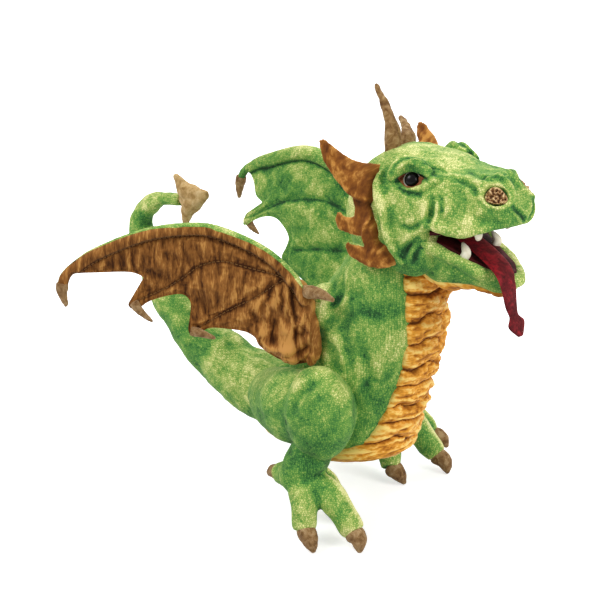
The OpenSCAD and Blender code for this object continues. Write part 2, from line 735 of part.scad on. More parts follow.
// Fingers: stuffed ridges on the lining from the wrist to the points
module wing_finger(tip) {
    path = [for (i = [0 : 6]) in_wing(wrist + (tip - wrist) * (0.16 + 0.78 * i / 6), 0)];
    outer = [for (p = path) [for (k = [0 : 6])
        p + [0, wing_t / 2 + stitch + finger_r * sin(180 * k / 6), 0]
        + finger_r * cos(180 * k / 6) * unit(cross([0, 1, 0], path[6] - path[0]))]];
    inner = [for (p = path) [for (k = [0 : 6])
        p + [0, wing_t / 2 + stitch - 0.04, 0]
        + finger_r * cos(180 * k / 6) * unit(cross([0, 1, 0], path[6] - path[0]))]];
    sheet(outer, inner);
}
module wing_fingers(side) {
    color(brown_gold) on_wing(side) for (k = [0 : 2]) wing_finger(wing_points[k]);
}

// Claws at the tip, at two points and on the thumb, which stands forward of the seam
wing_claw_r = 4;
module wing_claw(from, to) {
    hull() {
        translate(from) sphere(r = wing_claw_r, $fn = 16);
        translate(to) sphere(r = 1.2, $fn = 12);
    }
}
module wing_claws(side) {
    color(claw_brown) on_wing(side) {
        wing_claw(in_wing(w(1.0, 0.235), 0), in_wing(w(0.965, 0.12), 0));
        wing_claw(in_wing(w(0.695, 0.115), 0), in_wing(w(0.63, 0.06), 0));
        wing_claw(in_wing(w(0.465, 0.012), 0), in_wing(w(0.385, -0.02), 0));
        wing_claw(in_wing(w(0.005, 0.19), wing_claw_r), in_wing(w(-0.10, 0.235), wing_span * 0.128));
    }
}
module left_wing_back() wing_back(LEFT);
module left_wing_lining() wing_lining(LEFT);
module left_wing_arm() wing_arm(LEFT);
module left_wing_fingers() wing_fingers(LEFT);
module left_wing_claws() wing_claws(LEFT);
module right_wing_back() wing_back(RIGHT);
module right_wing_lining() wing_lining(RIGHT);
module right_wing_arm() wing_arm(RIGHT);
module right_wing_fingers() wing_fingers(RIGHT);
module right_wing_claws() wing_claws(RIGHT);

// Thigh: rows of place out from the hip as a share, and size as a share
thigh_table = [
    [0.00, 0.62], [0.15, 0.80], [0.35, 0.96], [0.52, 1.00], [0.72, 0.86], [0.90, 0.56], [1.00, 0.25]
];
module thigh(side) {
    rings = [for (i = [0 : 10])
        let (s = curve(thigh_table, i / 10)[0])
        [for (k = [0 : 27])
            [leg_x(side) + thigh_rx * s * sin(360 * k / 28), hip_y + thigh_w * i / 10,
                hip_z + thigh_rz * s * cos(360 * k / 28)]]];
    color(green) on_side(side) loft(rings);
}
module left_thigh() thigh(LEFT);
module right_thigh() thigh(RIGHT);

// Toes: how far forward and how far out each one reaches, as shares of the middle toe
toe_ways = [[0.64, -0.46], [0.97, 0], [0.52, 0.34]];
heel_way = [-0.62, -0.38];
function ankle(side) = [hip_x - ankle_back - (side > 0 ? left_step : 0), ankle_y, ankle_z];
function toe_end(side, way, up) = [ankle(side)[0] + way[0] * toe_l, ankle_y + way[1] * toe_l, up];
function toe_knee(side, way) = toe_end(side, way * 0.45, ankle_z * 0.62);
module ball(place, r) translate(place) sphere(r = r, $fn = 16);
module sole(place, r) translate([place[0], place[1], 0]) cylinder(r = r, h = 1, $fn = 12);
module toe(side, way) {
    hull() {
        ball(ankle(side), ankle_r);
        ball(toe_knee(side, way), toe_r * 1.15);
    }
    hull() {
        ball(toe_knee(side, way), toe_r * 1.15);
        ball(toe_end(side, way, toe_r * 0.9), toe_r * 0.85);
        sole(toe_end(side, way, 0), toe_r * 0.6);
    }
}
// Height of the raised back toe
heel_up = 22;
module foot(side) {
    shank_top = [leg_x(side) - 6, ankle_y, hip_z - thigh_rz - ankle_r * 0.5];
    color(dark_green) on_side(side) {
        hull() {
            ball(ankle(side), ankle_r);
            ball(shank_top, ankle_r * 0.98);
        }
        for (way = toe_ways) toe(side, way);
        hull() {
            ball(ankle(side) - [0, 0, 6], ankle_r * 0.7);
            ball(toe_end(side, heel_way, heel_up), toe_r * 0.7);
        }
    }
}
module left_foot() foot(LEFT);
module right_foot() foot(RIGHT);

module foot_claw(from, to) {
    hull() {
        ball(from, toe_r * 0.62);
        ball(to, 2);
    }
}
module foot_claws(side) {
    color(claw_brown) on_side(side) {
        for (way = toe_ways) {
            share = claw_l / (toe_l * norm(way));
            foot_claw(
                toe_end(side, way * (1 + 0.35 * share), toe_r * 0.8),
                toe_end(side, way * (1 + share), 3));
        }
        foot_claw(toe_end(side, heel_way * 1.08, heel_up), toe_end(side, heel_way * 1.34, heel_up - 12));
    }
}
module left_foot_claws() foot_claws(LEFT);
module right_foot_claws() foot_claws(RIGHT);

// Tail: its middle line as shares of the reach and the rise, and its radius as a share
tail_line = [
    [0.00, 0.00, 1.00], [0.20, 0.00, 0.92], [0.43, 0.07, 0.79], [0.65, 0.20, 0.67], [0.85, 0.40, 0.58],
    [0.98, 0.62, 0.53], [1.00, 0.80, 0.48], [0.90, 0.94, 0.36], [0.74, 1.00, 0.17]
];
function tail_place(p) = [tail_root_x - gap - tail_reach * p[0], 0, tail_root_z + tail_rise * p[1]];
tail_steps = 26;
tail_rows = along(tail_line, tail_steps);
tail_path = [for (p = tail_rows) tail_place(p)];
tail_tip = tail_path[tail_steps];
module tail() {
    rings = tube_rings(tail_path, [for (p = tail_rows) tail_r * p[2]], [0, 1, 0], 20);
    root = [for (p = rings[0]) [tail_root_x - gap - abs(p[1]) * tan(tail_room), p[1], p[2]]];
    color(green) in_frame() loft(concat([root], [for (i = [2 : tail_steps]) rings[i]]));
}

module tail_barb() {
    r = barb_l * 0.14;
    apex = tail_tip + barb_l * [0.86, 0, 0.28];
    heart = tail_tip + [r + 2, 0, 0];
    color(tan_brown) in_frame() for (way = [[-0.14, 0.66], [0.28, -0.58]])
        hull() {
            ball(apex, r * 0.5);
            ball(heart, r * 1.2);
            ball(tail_tip + barb_l * [way[0], 0, way[1]], r * 0.5);
        }
}

body_skin();
belly_panel();
arm_hem();
left_wing_tab();
right_wing_tab();
neck_skin();
neck_panel();
head_skin();
upper_mouth_board();
upper_mouth_lining();
upper_fangs();
left_horn();
right_horn();
left_frill();
right_frill();
left_eye_patch();
right_eye_patch();
left_eye();
right_eye();
left_eye_washer();
right_eye_washer();
left_eyelid();
right_eyelid();
left_nostril();
right_nostril();
jaw_skin();
throat_panel();
lower_mouth_board();
lower_mouth_lining();
lower_fangs();
tongue();
left_wing_back();
left_wing_lining();
left_wing_arm();
left_wing_fingers();
left_wing_claws();
right_wing_back();
right_wing_lining();
right_wing_arm();
right_wing_fingers();
right_wing_claws();
left_thigh();
left_foot();
left_foot_claws();
right_thigh();
right_foot();
right_foot_claws();
tail();
tail_barb();
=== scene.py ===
"""Moving mouth puppet: a stuffed dragon hand puppet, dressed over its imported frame.

Lengths are in millimetres in the puppet's own axes: X forward, Y to its left, Z up, with the floor
at Z = 0 and the middle plane at Y = 0. to_frame() turns them into the frame's metres.
"""
import json
import math

import bmesh
import bpy
import numpy as np
from mathutils import Matrix, Vector, noise
from mathutils.bvhtree import BVHTree


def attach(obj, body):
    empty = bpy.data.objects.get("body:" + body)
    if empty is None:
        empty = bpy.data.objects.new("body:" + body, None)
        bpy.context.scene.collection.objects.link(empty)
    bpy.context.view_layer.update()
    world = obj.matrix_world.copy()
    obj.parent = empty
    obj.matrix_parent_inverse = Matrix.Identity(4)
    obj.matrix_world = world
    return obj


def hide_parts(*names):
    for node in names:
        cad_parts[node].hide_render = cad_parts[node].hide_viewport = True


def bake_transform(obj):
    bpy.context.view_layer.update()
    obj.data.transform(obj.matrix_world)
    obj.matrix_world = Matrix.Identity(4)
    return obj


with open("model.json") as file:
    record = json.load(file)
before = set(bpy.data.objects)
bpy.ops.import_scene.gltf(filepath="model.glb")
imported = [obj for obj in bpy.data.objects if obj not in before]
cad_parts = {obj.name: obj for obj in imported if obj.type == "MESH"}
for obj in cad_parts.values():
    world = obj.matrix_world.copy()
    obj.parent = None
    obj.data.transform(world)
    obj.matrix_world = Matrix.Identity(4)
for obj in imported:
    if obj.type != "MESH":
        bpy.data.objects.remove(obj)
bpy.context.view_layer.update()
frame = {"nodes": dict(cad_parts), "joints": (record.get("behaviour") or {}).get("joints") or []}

MM = 0.001
LEFT = 1
RIGHT = -1
SIDE_NAMES = {LEFT: "left", RIGHT: "right"}
MIRROR = np.array([1, -1, 1])
joints = {joint["name"]: joint for joint in frame["joints"]}

# The nod axis in the puppet's own axes ties them to the frame
NOD = np.array([60.0, 0.0, 262.75])
SHIFT = np.array(joints["head_nod"]["pos_m"]) - NOD * MM


def to_frame(points):
    return np.asarray(points, float) * MM + SHIFT


def from_frame(points):
    return (np.asarray(points, float) - SHIFT) / MM


# Camera: one millimetre is one pixel at the origin's distance, in a frame of 600 by 600
AZIMUTH = math.radians(40)
ELEVATION = math.radians(19)
DISTANCE = 1500.0
FRAME_PX = 600
ORIGIN_PX = (344, 494)
VIEW_BACK = np.array([math.sin(AZIMUTH) * math.cos(ELEVATION),
                      -math.cos(AZIMUTH) * math.cos(ELEVATION), math.sin(ELEVATION)])
VIEW_RIGHT = np.array([math.cos(AZIMUTH), math.sin(AZIMUTH), 0.0])
VIEW_UP = np.cross(VIEW_BACK, VIEW_RIGHT)
VIEW_TARGET = VIEW_RIGHT * (FRAME_PX / 2 - ORIGIN_PX[0]) + VIEW_UP * (ORIGIN_PX[1] - FRAME_PX / 2)
VIEW_POINT = VIEW_TARGET + DISTANCE * VIEW_BACK


def make_camera():
    data = bpy.data.cameras.new("photo_camera")
    data.sensor_fit = "HORIZONTAL"
    data.angle = 2 * math.atan(FRAME_PX / 2 / DISTANCE)
    camera = new_object("photo_camera", data)
    turn = Matrix([VIEW_RIGHT, VIEW_UP, VIEW_BACK]).transposed().to_4x4()
    camera.matrix_world = Matrix.Translation(to_frame(VIEW_POINT)) @ turn
    bpy.context.scene.camera = camera


# Lines and tables
def spline(points, count):
    """A smooth line through the points, as count places"""
    p = np.asarray(points, float)
    t = np.linspace(0, len(p) - 1, count)
    i = np.clip(t.astype(int), 0, len(p) - 2)
    f = (t - i)[:, None]
    ends = np.vstack([2 * p[0] - p[1], p, 2 * p[-1] - p[-2]])
    a, b, c, d = ends[i], ends[i + 1], ends[i + 2], ends[i + 3]
    return b + 0.5 * f * (c - a + f * (2 * a - 5 * b + 4 * c - d + f * (3 * (b - c) + d - a)))


def table(rows, t):
    """Smooth values from rows that start with their place"""
    fine = spline(rows, 16 * len(rows))
    return np.stack([np.interp(t, fine[:, 0], column) for column in fine[:, 1:].T], axis=-1)


def widths_along(rows, count):
    """Smooth widths at even places along a line, from rows of share and width"""
    return table(rows, np.linspace(0, 1, count))[:, 0]


def even_widths(values, count):
    """Smooth widths along a line, from values that are evenly spread along it"""
    return spline(np.array(values, float)[:, None], count)[:, 0]


def full_turn(count):
    """Angles once round"""
    return np.linspace(0, 2 * math.pi, count, endpoint=False)


def unit(v):
    v = np.asarray(v, float)
    return v / np.maximum(np.linalg.norm(v, axis=-1, keepdims=True), 1e-9)


def smooth_step(x, low, high):
    t = np.clip((x - low) / (high - low), 0, 1)
    return t * t * (3 - 2 * t)


def hump(x, middle, width):
    return np.exp(-((x - middle) / width) ** 2)


def xyz(x, y, z):
    """Places from their coordinates, which may be numbers, rows or columns"""
    return np.stack(np.broadcast_arrays(x, y, z), axis=-1)


# Shapes are pairs of points and faces
def quads(rows, columns, ring=False):
    ids = np.arange(rows * columns).reshape(rows, columns)
    if ring:
        ids = np.hstack([ids, ids[:, :1]])
    faces = np.stack([ids[:-1, :-1], ids[:-1, 1:], ids[1:, 1:], ids[1:, :-1]], axis=-1)
    return faces.reshape(-1, 4).tolist()


def loft(rings):
    """A closed skin over rings of points"""
    rings = np.asarray(rings, float)
    count, sides, _ = rings.shape
    last = (count - 1) * sides
    caps = [list(range(sides))[::-1], list(range(last, last + sides))]
    return rings.reshape(-1, 3), quads(count, sides, ring=True) + caps


def pipe(outer, inner):
    """A closed tube wall between two stacks of rings"""
    rings = np.concatenate([np.asarray(outer, float), np.asarray(inner, float)[::-1]])
    count, sides, _ = rings.shape
    ids = np.arange(count * sides).reshape(count, sides)
    rim = [[ids[-1, k], ids[-1, (k + 1) % sides], ids[0, (k + 1) % sides], ids[0, k]] for k in range(sides)]
    return rings.reshape(-1, 3), quads(count, sides, ring=True) + rim


def tube(line, radii, side=(0, 1, 0), sides=24, flat=1.0):
    """A round or flattened tube along a line; its width lies along side"""
    line = np.asarray(line, float)
    way = unit(np.gradient(line, axis=0))
    up = unit(np.cross(way, side))
    across = unit(np.cross(up, way))
    turn = full_turn(sides)
    radii = np.asarray(radii, float)[:, None, None]
    round_up = np.sin(turn)[None, :, None] * up[:, None] * flat
    return loft(line[:, None] + radii * (np.cos(turn)[None, :, None] * across[:, None] + round_up))


def ball(place, radii):
    """An egg with its own radius along each axis"""
    tall = np.linspace(-math.pi / 2 + 0.05, math.pi / 2 - 0.05, 18)
    turn = full_turn(28)
    flat = np.cos(tall)[:, None]
    unit_rings = xyz(flat * np.cos(turn), flat * np.sin(turn), np.sin(tall)[:, None])
    return loft(np.asarray(place, float) + unit_rings * np.asarray(radii, float))


def mirrored(shape):
    points, faces = shape
    return points * MIRROR, [face[::-1] for face in faces]


def joined(shapes):
    points = []
    faces = []
    start = 0
    for part_points, part_faces in shapes:
        points.append(part_points)
        faces += [[start + k for k in face] for face in part_faces]
        start += len(part_points)
    return np.concatenate(points), faces


# Objects
def new_object(name, data):
    obj = bpy.data.objects.new(name, data)
    bpy.context.scene.collection.objects.link(obj)
    return obj


def mesh_object(name, points, faces):
    mesh = bpy.data.meshes.new(name)
    mesh.from_pydata(to_frame(points).tolist(), [], faces)
    mesh.validate()
    mesh.polygons.foreach_set("use_smooth", [True] * len(mesh.polygons))
    return new_object(name, mesh)


def points_of(obj):
    flat = np.empty(3 * len(obj.data.vertices))
    obj.data.vertices.foreach_get("co", flat)
    return from_frame(flat.reshape(-1, 3))


def set_points(obj, points):
    obj.data.vertices.foreach_set("co", to_frame(points).ravel())
    obj.data.update()


def normals_of(obj):
    flat = np.empty(3 * len(obj.data.vertices))
    obj.data.vertex_normals.foreach_get("vector", flat)
    return flat.reshape(-1, 3)


def relaxed(obj, rounds):
    """The points of an object after each has moved to the middle of its neighbours a few times"""
    ends = np.empty(2 * len(obj.data.edges), dtype=np.int32)
    obj.data.edges.foreach_get("vertices", ends)
    first, second = ends[0::2], ends[1::2]
    points = points_of(obj)
    count = len(points)
    share = np.maximum(np.bincount(first, minlength=count) + np.bincount(second, minlength=count), 1)
    for _ in range(rounds):
        total = [np.bincount(first, points[second, k], count) + np.bincount(second, points[first, k], count)
                 for k in range(3)]
        points = np.stack(total, axis=1) / share[:, None]
    return points


# Painted light and shade are written on each piece as its tone: a painted highlight on top and on the crests
# of folds, gathers and tufts, painted shade in their valleys
PAINTED_SHADE_LAYER = "tone_and_painted_shade"
TOP_PAINTED_LIGHT = 0.10
FOLD_PAINTED_SHADE = 0.14
GATHER_PAINTED_SHADE = 0.2
TUFT_PAINTED_SHADE = 0.3
FOLD_ROUNDS = 14
FOLD_RANGE = (-2.5, 2.0)


def shade_by_form(obj, marks_and_painted_light=0.0, gain=FOLD_PAINTED_SHADE):
    """Paint light and shade into the fabric's colour, from how far each point stands up from a fold and how
    far it looks up, and add the given marks
    """
    normals = normals_of(obj)
    lift = ((points_of(obj) - relaxed(obj, FOLD_ROUNDS)) * normals).sum(axis=1)
    tone_and_painted_shade = TOP_PAINTED_LIGHT * normals[:, 2] + gain * np.clip(lift, *FOLD_RANGE) + marks_and_painted_light
    layer = obj.data.attributes.new(PAINTED_SHADE_LAYER, "FLOAT", "POINT")
    layer.data.foreach_set("value", tone_and_painted_shade.astype(np.float32))


def apply_modifiers(obj):
    seen = obj.evaluated_get(bpy.context.evaluated_depsgraph_get())
    mesh = bpy.data.meshes.new_from_object(seen)
    obj.modifiers.clear()
    old = obj.data
    obj.data = mesh
    bpy.data.meshes.remove(old)
    mesh.polygons.foreach_set("use_smooth", [True] * len(mesh.polygons))


def fuse(name, shapes, voxel, rounds=6):
    """One closed skin round all the shapes, relaxed a few times"""
    obj = mesh_object(name, *joined(shapes))
    skin = obj.modifiers.new("skin", "REMESH")
    skin.mode = "VOXEL"
    skin.voxel_size = voxel * MM
    relax = obj.modifiers.new("relax", "SMOOTH")
    relax.factor = 0.5
    relax.iterations = rounds
    apply_modifiers(obj)
    return obj


def edit_mesh(obj, change):
    """Pass a piece's mesh through a change that works on its faces, edges and points"""
    work = bmesh.new()
    work.from_mesh(obj.data)
    change(work)
    work.to_mesh(obj.data)
    work.free()


def outward(obj):
    """Turn every face outwards"""
    edit_mesh(obj, lambda work: bmesh.ops.recalc_face_normals(work, faces=work.faces[:]))


def closed_sheet(name, front_points, back_points, turned=False):
    """A closed piece between two grids of the same size; turned is for grids that run the other way round"""
    rows, columns = front_points.shape[:2]
    size = rows * columns
    front = quads(rows, columns)
    if turned:
        front = [face[::-1] for face in front]
    behind = [[k + size for k in face[::-1]] for face in front]
    loop = list(range(columns)) + [r * columns + columns - 1 for r in range(1, rows)]
    loop += [(rows - 1) * columns + k for k in range(columns - 2, -1, -1)]
    loop += [r * columns for r in range(rows - 2, 0, -1)]
    pairs = list(zip(loop, loop[1:] + loop[:1]))
    if turned:
        rim = [[a, b, b + size, a + size] for a, b in pairs]
    else:
        rim = [[a, a + size, b + size, b] for a, b in pairs]
    points = np.concatenate([front_points.reshape(-1, 3), back_points.reshape(-1, 3)])
    obj = mesh_object(name, points, front + behind + rim)
    outward(obj)
    return obj


def subdivide(obj):
    finer = obj.modifiers.new("finer", "SUBSURF")
    finer.levels = 1
    finer.render_levels = 1
    apply_modifiers(obj)


def line_distance(points, line):
    """Distance of each point to a line, and how far along the line it lies"""
    a, b = line[:-1], line[1:]
    along = b - a
    length = np.maximum((along ** 2).sum(1), 1e-9)
    best = np.full(len(points), 1e9)
    place = np.zeros(len(points))
    for k in range(len(a)):
        t = np.clip(((points - a[k]) @ along[k]) / length[k], 0, 1)
        d = np.linalg.norm(points - (a[k] + t[:, None] * along[k]), axis=1)
        nearer = d < best
        best[nearer] = d[nearer]
        place[nearer] = (k + t[nearer]) / len(a)
    return best, place


def crease(obj, line, depth, width, lips):
    """Press a sewn or folded line into the plush, with swollen lips beside it"""
    points = points_of(obj)
    d, place = line_distance(points, spline(line, 6 * len(line)))
    ends = np.sin(np.pi * np.clip(place, 0.02, 0.98)) ** 0.5
    push = depth * ends * (lips * hump(d, 2.1 * width, width) - hump(d, 0, width))
    set_points(obj, points + push[:, None] * normals_of(obj))


def ridge(obj, line, height, width):
    """Raise a stuffed roll along a line"""
    crease(obj, line, -height, width, lips=0.15)


def surface_tree(obj):
    return BVHTree.FromObject(obj, bpy.context.evaluated_depsgraph_get())


def seen_at(obj, pixels):
    """The places on an object that the photograph shows at these pixels"""
    tree = surface_tree(obj)
    eye = to_frame(VIEW_POINT)
    places = []
    for x, y in pixels:
        way = VIEW_RIGHT * (x - FRAME_PX / 2) + VIEW_UP * (FRAME_PX / 2 - y) - DISTANCE * VIEW_BACK
        hit = tree.ray_cast(Vector(eye), Vector(unit(way)))[0]
        if hit is not None:
            places.append(from_frame(hit))
    return np.array(places)


def both_sides(line):
    return [line, line * MIRROR]


SEED_STEP = 7.31


def ripple(obj, size, depth, seed, mask=None, stretch=(1, 1, 1)):
    """Soft uneven dents and bulges, of about one size"""
    points = points_of(obj)
    shown = points / size * stretch + seed * SEED_STEP
    wave = np.array([noise.noise(Vector(p)) for p in shown])
    if mask is not None:
        wave = wave * mask(points)
    set_points(obj, points + depth * wave[:, None] * normals_of(obj))


# Cloth simulation of a wing's lining
CLOTH_PRESSURE = 0.6
CLOTH_STIFFNESS = 8.0
CLOTH_SHRINK = -0.05
CLOTH_FRAMES = 14
CLOTH_REACH = 5.0


def swell(obj, held):
    """Blow a padded piece up as cloth; held is 1 where it is sewn down, and no point moves past the reach"""
    start = points_of(obj)
    cloth = obj.modifiers.new("cloth", "CLOTH")
    settings = cloth.settings
    settings.quality = 5
    settings.mass = 0.2
    settings.tension_stiffness = CLOTH_STIFFNESS
    settings.compression_stiffness = CLOTH_STIFFNESS
    settings.shear_stiffness = CLOTH_STIFFNESS / 2
    settings.bending_stiffness = 0.3
    settings.use_pressure = True
    settings.uniform_pressure_force = CLOTH_PRESSURE
    settings.shrink_min = CLOTH_SHRINK
    settings.effector_weights.gravity = 0
    cloth.collision_settings.use_collision = False
    group = obj.vertex_groups.new(name="held")
    group.add(np.flatnonzero(held).tolist(), 1.0, "REPLACE")
    settings.vertex_group_mass = group.name
    cloth.point_cache.frame_start = 1
    cloth.point_cache.frame_end = CLOTH_FRAMES
    scene = bpy.context.scene
    for step in range(1, CLOTH_FRAMES + 1):
        scene.frame_set(step)
    apply_modifiers(obj)
    obj.vertex_groups.clear()
    scene.frame_set(1)
    moved = points_of(obj) - start
    far = np.linalg.norm(moved, axis=1, keepdims=True)
    set_points(obj, start + moved * np.minimum(1, CLOTH_REACH / np.maximum(far, 1e-6)))


# Fabrics
def colour(code):
    """A colour written as the eye sees it, for a shader"""
    parts = [int(code[k:k + 2], 16) / 255 for k in (1, 3, 5)]
    return tuple(((c + 0.055) / 1.055) ** 2.4 if c > 0.04 else c / 12.92 for c in parts) + (1.0,)


def add(tree, kind, inputs=None, **settings):
    """A shader node; an input is a value or another node's output"""
    node = tree.nodes.new("ShaderNode" + kind)
    for name, value in settings.items():
        setattr(node, name, value)
    for name, value in (inputs or {}).items():
        if isinstance(value, bpy.types.NodeSocket):
            tree.links.new(value, node.inputs[name])
        else:
            node.inputs[name].default_value = value
    return node


def mix(tree, factor, a, b):
    return add(tree, "Mix", {0: factor, 6: a, 7: b}, data_type="RGBA").outputs[2]


def maths(tree, what, a, b=0.0):
    return add(tree, "Math", {0: a, 1: b}, operation=what).outputs[0]


def ramp(tree, factor, stops):
    """Colours or values at places from 0 to 1, smoothly joined"""
    node = add(tree, "ValToRGB", {0: factor})
    elements = node.color_ramp.elements
    shades = [(place, value if isinstance(value, tuple) else (value, value, value, 1))
              for place, value in stops]
    for element, (place, shade) in zip(elements, (shades[0], shades[-1])):
        element.position = place
        element.color = shade
    for place, shade in shades[1:-1]:
        elements.new(place).color = shade
    return node.outputs[0]


def shade_ramp(tree, tone_and_painted_shade, shades):
    """A fabric's shades, evenly spread from dark to pale"""
    return ramp(tree, tone_and_painted_shade, [(k / (len(shades) - 1), colour(shade)) for k, shade in enumerate(shades)])


def fleck(tree, vector, scale, detail=2.0, distortion=0.0, rough=0.6):
    return add(tree, "TexNoise", {"Vector": vector, "Scale": scale, "Detail": detail, "Roughness": rough,
                                  "Distortion": distortion}).outputs[0]


def new_group(name, takes, gives):
    tree = bpy.data.node_groups.new(name, "ShaderNodeTree")
    for label, kind, value in takes:
        socket = tree.interface.new_socket(label, in_out="INPUT", socket_type="NodeSocket" + kind)
        if value is not None:
            socket.default_value = value
    for label, kind in gives:
        tree.interface.new_socket(label, in_out="OUTPUT", socket_type="NodeSocket" + kind)
    return tree, tree.nodes.new("NodeGroupInput").outputs, tree.nodes.new("NodeGroupOutput").inputs


def scale_print_group():
    """Small printed scales: how far into a scale a place lies, and a random value for each scale"""
    tree, take, give = new_group(
        "scale_print", [("Vector", "Vector", None), ("Scales per metre", "Float", 400.0)],
        [("Height", "Float"), ("Shade", "Float")])
    drift = add(tree, "TexNoise", {"Vector": take["Vector"], "Scale": 70.0, "Detail": 1.0})
    warped = add(tree, "VectorMath", {0: drift.outputs[1], 1: (0.002, 0.002, 0.002), 2: take["Vector"]},
                 operation="MULTIPLY_ADD").outputs[0]
    print_inputs = {"Vector": warped, "Scale": take["Scales per metre"], "Randomness": 0.6}
    cells = add(tree, "TexVoronoi", print_inputs)
    edges = add(tree, "TexVoronoi", print_inputs, feature="DISTANCE_TO_EDGE")
    tree.links.new(ramp(tree, edges.outputs[0], [(0.0, 0.0), (0.16, 0.7), (0.45, 1.0)]), give["Height"])
    tree.links.new(add(tree, "SeparateColor", {0: cells.outputs[1]}).outputs[0], give["Shade"])
    return tree


def crushed_pile_group():
    """Pile that lies in crushed streaks: bright where it leans away, dark where it stands up"""
    tree, take, give = new_group(
        "crushed_pile", [("Vector", "Vector", None), ("Streaks", "Vector", (150.0, 150.0, 40.0)),
                         ("Bend", "Float", 0.8)],
        [("Lustre", "Float"), ("Height", "Float")])
    stretched = add(tree, "VectorMath", {0: take["Vector"], 1: take["Streaks"]}, operation="MULTIPLY")
    broad = fleck(tree, stretched.outputs[0], 0.8, detail=3.0, distortion=take["Bend"], rough=0.62)
    fine = fleck(tree, stretched.outputs[0], 3.4, detail=3.0, distortion=0.3, rough=0.7)
    both = maths(tree, "ADD", maths(tree, "MULTIPLY", broad, 0.62), maths(tree, "MULTIPLY", fine, 0.38))
    lustre = ramp(tree, both, [(0.34, 0.0), (0.5, 0.45), (0.66, 1.0)])
    tree.links.new(lustre, give["Lustre"])
    tree.links.new(both, give["Height"])
    return tree


def woven_group():
    """Coarse woven cloth: two sets of threads across each other, with worn and dark places"""
    tree, take, give = new_group(
        "woven_cloth", [("Vector", "Vector", None), ("Threads per metre", "Float", 420.0)],
        [("Height", "Float"), ("Wear", "Float")])
    threads = {"Vector": take["Vector"], "Scale": take["Threads per metre"], "Distortion": 2.5, "Detail": 1.0}
    warp = add(tree, "TexWave", threads, bands_direction="DIAGONAL")
    weft = add(tree, "TexWave", threads, bands_direction="Z")
    tree.links.new(maths(tree, "MULTIPLY", warp.outputs[1], weft.outputs[1]), give["Height"])
    tree.links.new(fleck(tree, take["Vector"], 160.0, detail=4.0, distortion=0.6), give["Wear"])
    return tree


SCALE_PRINT = scale_print_group()
CRUSHED_PILE = crushed_pile_group()
WOVEN_CLOTH = woven_group()


def place_group(tree, group, inputs):
    return add(tree, "Group", inputs, node_tree=group).outputs


def new_material(name, sheen=0.0, sheen_tint="#ffffff", specular=0.3):
    material = bpy.data.materials.new(name)
    material.use_nodes = True
    tree = material.node_tree
    shader = tree.nodes["Principled BSDF"]
    shader.inputs["Sheen Weight"].default_value = sheen
    shader.inputs["Sheen Roughness"].default_value = 0.35
    shader.inputs["Sheen Tint"].default_value = colour(sheen_tint)
    shader.inputs["Specular IOR Level"].default_value = specular
    return material, tree, shader


def object_place(tree):
    return add(tree, "TexCoord").outputs["Object"]


def uv_place(tree):
    return add(tree, "UVMap").outputs[0]


def bumped(tree, shader, height, depth):
    bump = add(tree, "Bump", {"Height": height, "Distance": depth * MM, "Strength": 0.7})
    tree.links.new(bump.outputs[0], shader.inputs["Normal"])


def painted_form_shade(tree):
    """The painted light and shade that shade_by_form wrote on the piece, with its marks; a piece without it
    gives 0
    """
    return add(tree, "Attribute", attribute_name=PAINTED_SHADE_LAYER).outputs["Fac"]


def weighted(tree, pairs):
    """The sum of values, each times its weight"""
    total = 0.0
    for value, weight in pairs:
        total = maths(tree, "ADD", maths(tree, "MULTIPLY", value, weight), total)
    return total


# Materials: sizes are per metre, and bump depths are in millimetres
PLUSH_SCALES = 540.0
PILE_BEND = 0.8
WOVEN_THREADS = 420.0
WEAVE_DEPTH = 0.8


def plush_material(name, shades):
    """Short plush printed with small scales, airbrushed in patches, darkened and paled by the painted light
    and shade of its form; shades run from dark to pale
    """
    material, tree, shader = new_material(name, sheen=0.25, sheen_tint="#e8f0b0", specular=0.2)
    place = object_place(tree)
    scale = place_group(tree, SCALE_PRINT, {"Vector": place, "Scales per metre": PLUSH_SCALES})
    broad = ramp(tree, fleck(tree, place, 15.0, detail=2.0, distortion=0.9), [(0.3, 0.0), (0.7, 1.0)])
    small = ramp(tree, fleck(tree, place, 48.0, detail=3.0, distortion=0.6), [(0.3, 0.0), (0.7, 1.0)])
    # Patches, printed scales and a random shade for each scale, with the painted light and shade of the form;
    # the scales' pale domes are partly print and partly painted glints
    tone_and_painted_shade = weighted(tree, [(broad, 0.42), (small, 0.34), (scale["Height"], 0.36), (scale["Shade"], 0.20),
                           (painted_form_shade(tree), 1.15)])
    tone_and_painted_shade = maths(tree, "SUBTRACT", tone_and_painted_shade, 0.18)
    tree.links.new(shade_ramp(tree, tone_and_painted_shade, shades), shader.inputs["Base Color"])
    tree.links.new(ramp(tree, tone_and_painted_shade, [(0.3, 0.9), (0.9, 0.6)]), shader.inputs["Roughness"])
    bumped(tree, shader, weighted(tree, [(scale["Height"], 0.3), (small, 1.0)]), 1.3)
    return material


def velour_material(name, shades, streaks, from_uv=False, depth=1.2, sheen=0.35, tint="#ffd79a", gloss=0.6):
    """Crushed velour, darkened and brightened by the painted light and shade of its form; shades run from the
    dark to the bright side of the pile
    """
    material, tree, shader = new_material(name, sheen=sheen, sheen_tint=tint, specular=0.2)
    place = uv_place(tree) if from_uv else object_place(tree)
    pile = place_group(tree, CRUSHED_PILE, {"Vector": place, "Streaks": streaks, "Bend": PILE_BEND})
    tone_and_painted_shade = weighted(tree, [(pile["Lustre"], 1.0), (painted_form_shade(tree), 1.6)])
    tree.links.new(shade_ramp(tree, tone_and_painted_shade, shades), shader.inputs["Base Color"])
    tree.links.new(ramp(tree, tone_and_painted_shade, [(0.0, 0.9), (1.0, gloss)]), shader.inputs["Roughness"])
    bumped(tree, shader, pile["Height"], depth)
    return material


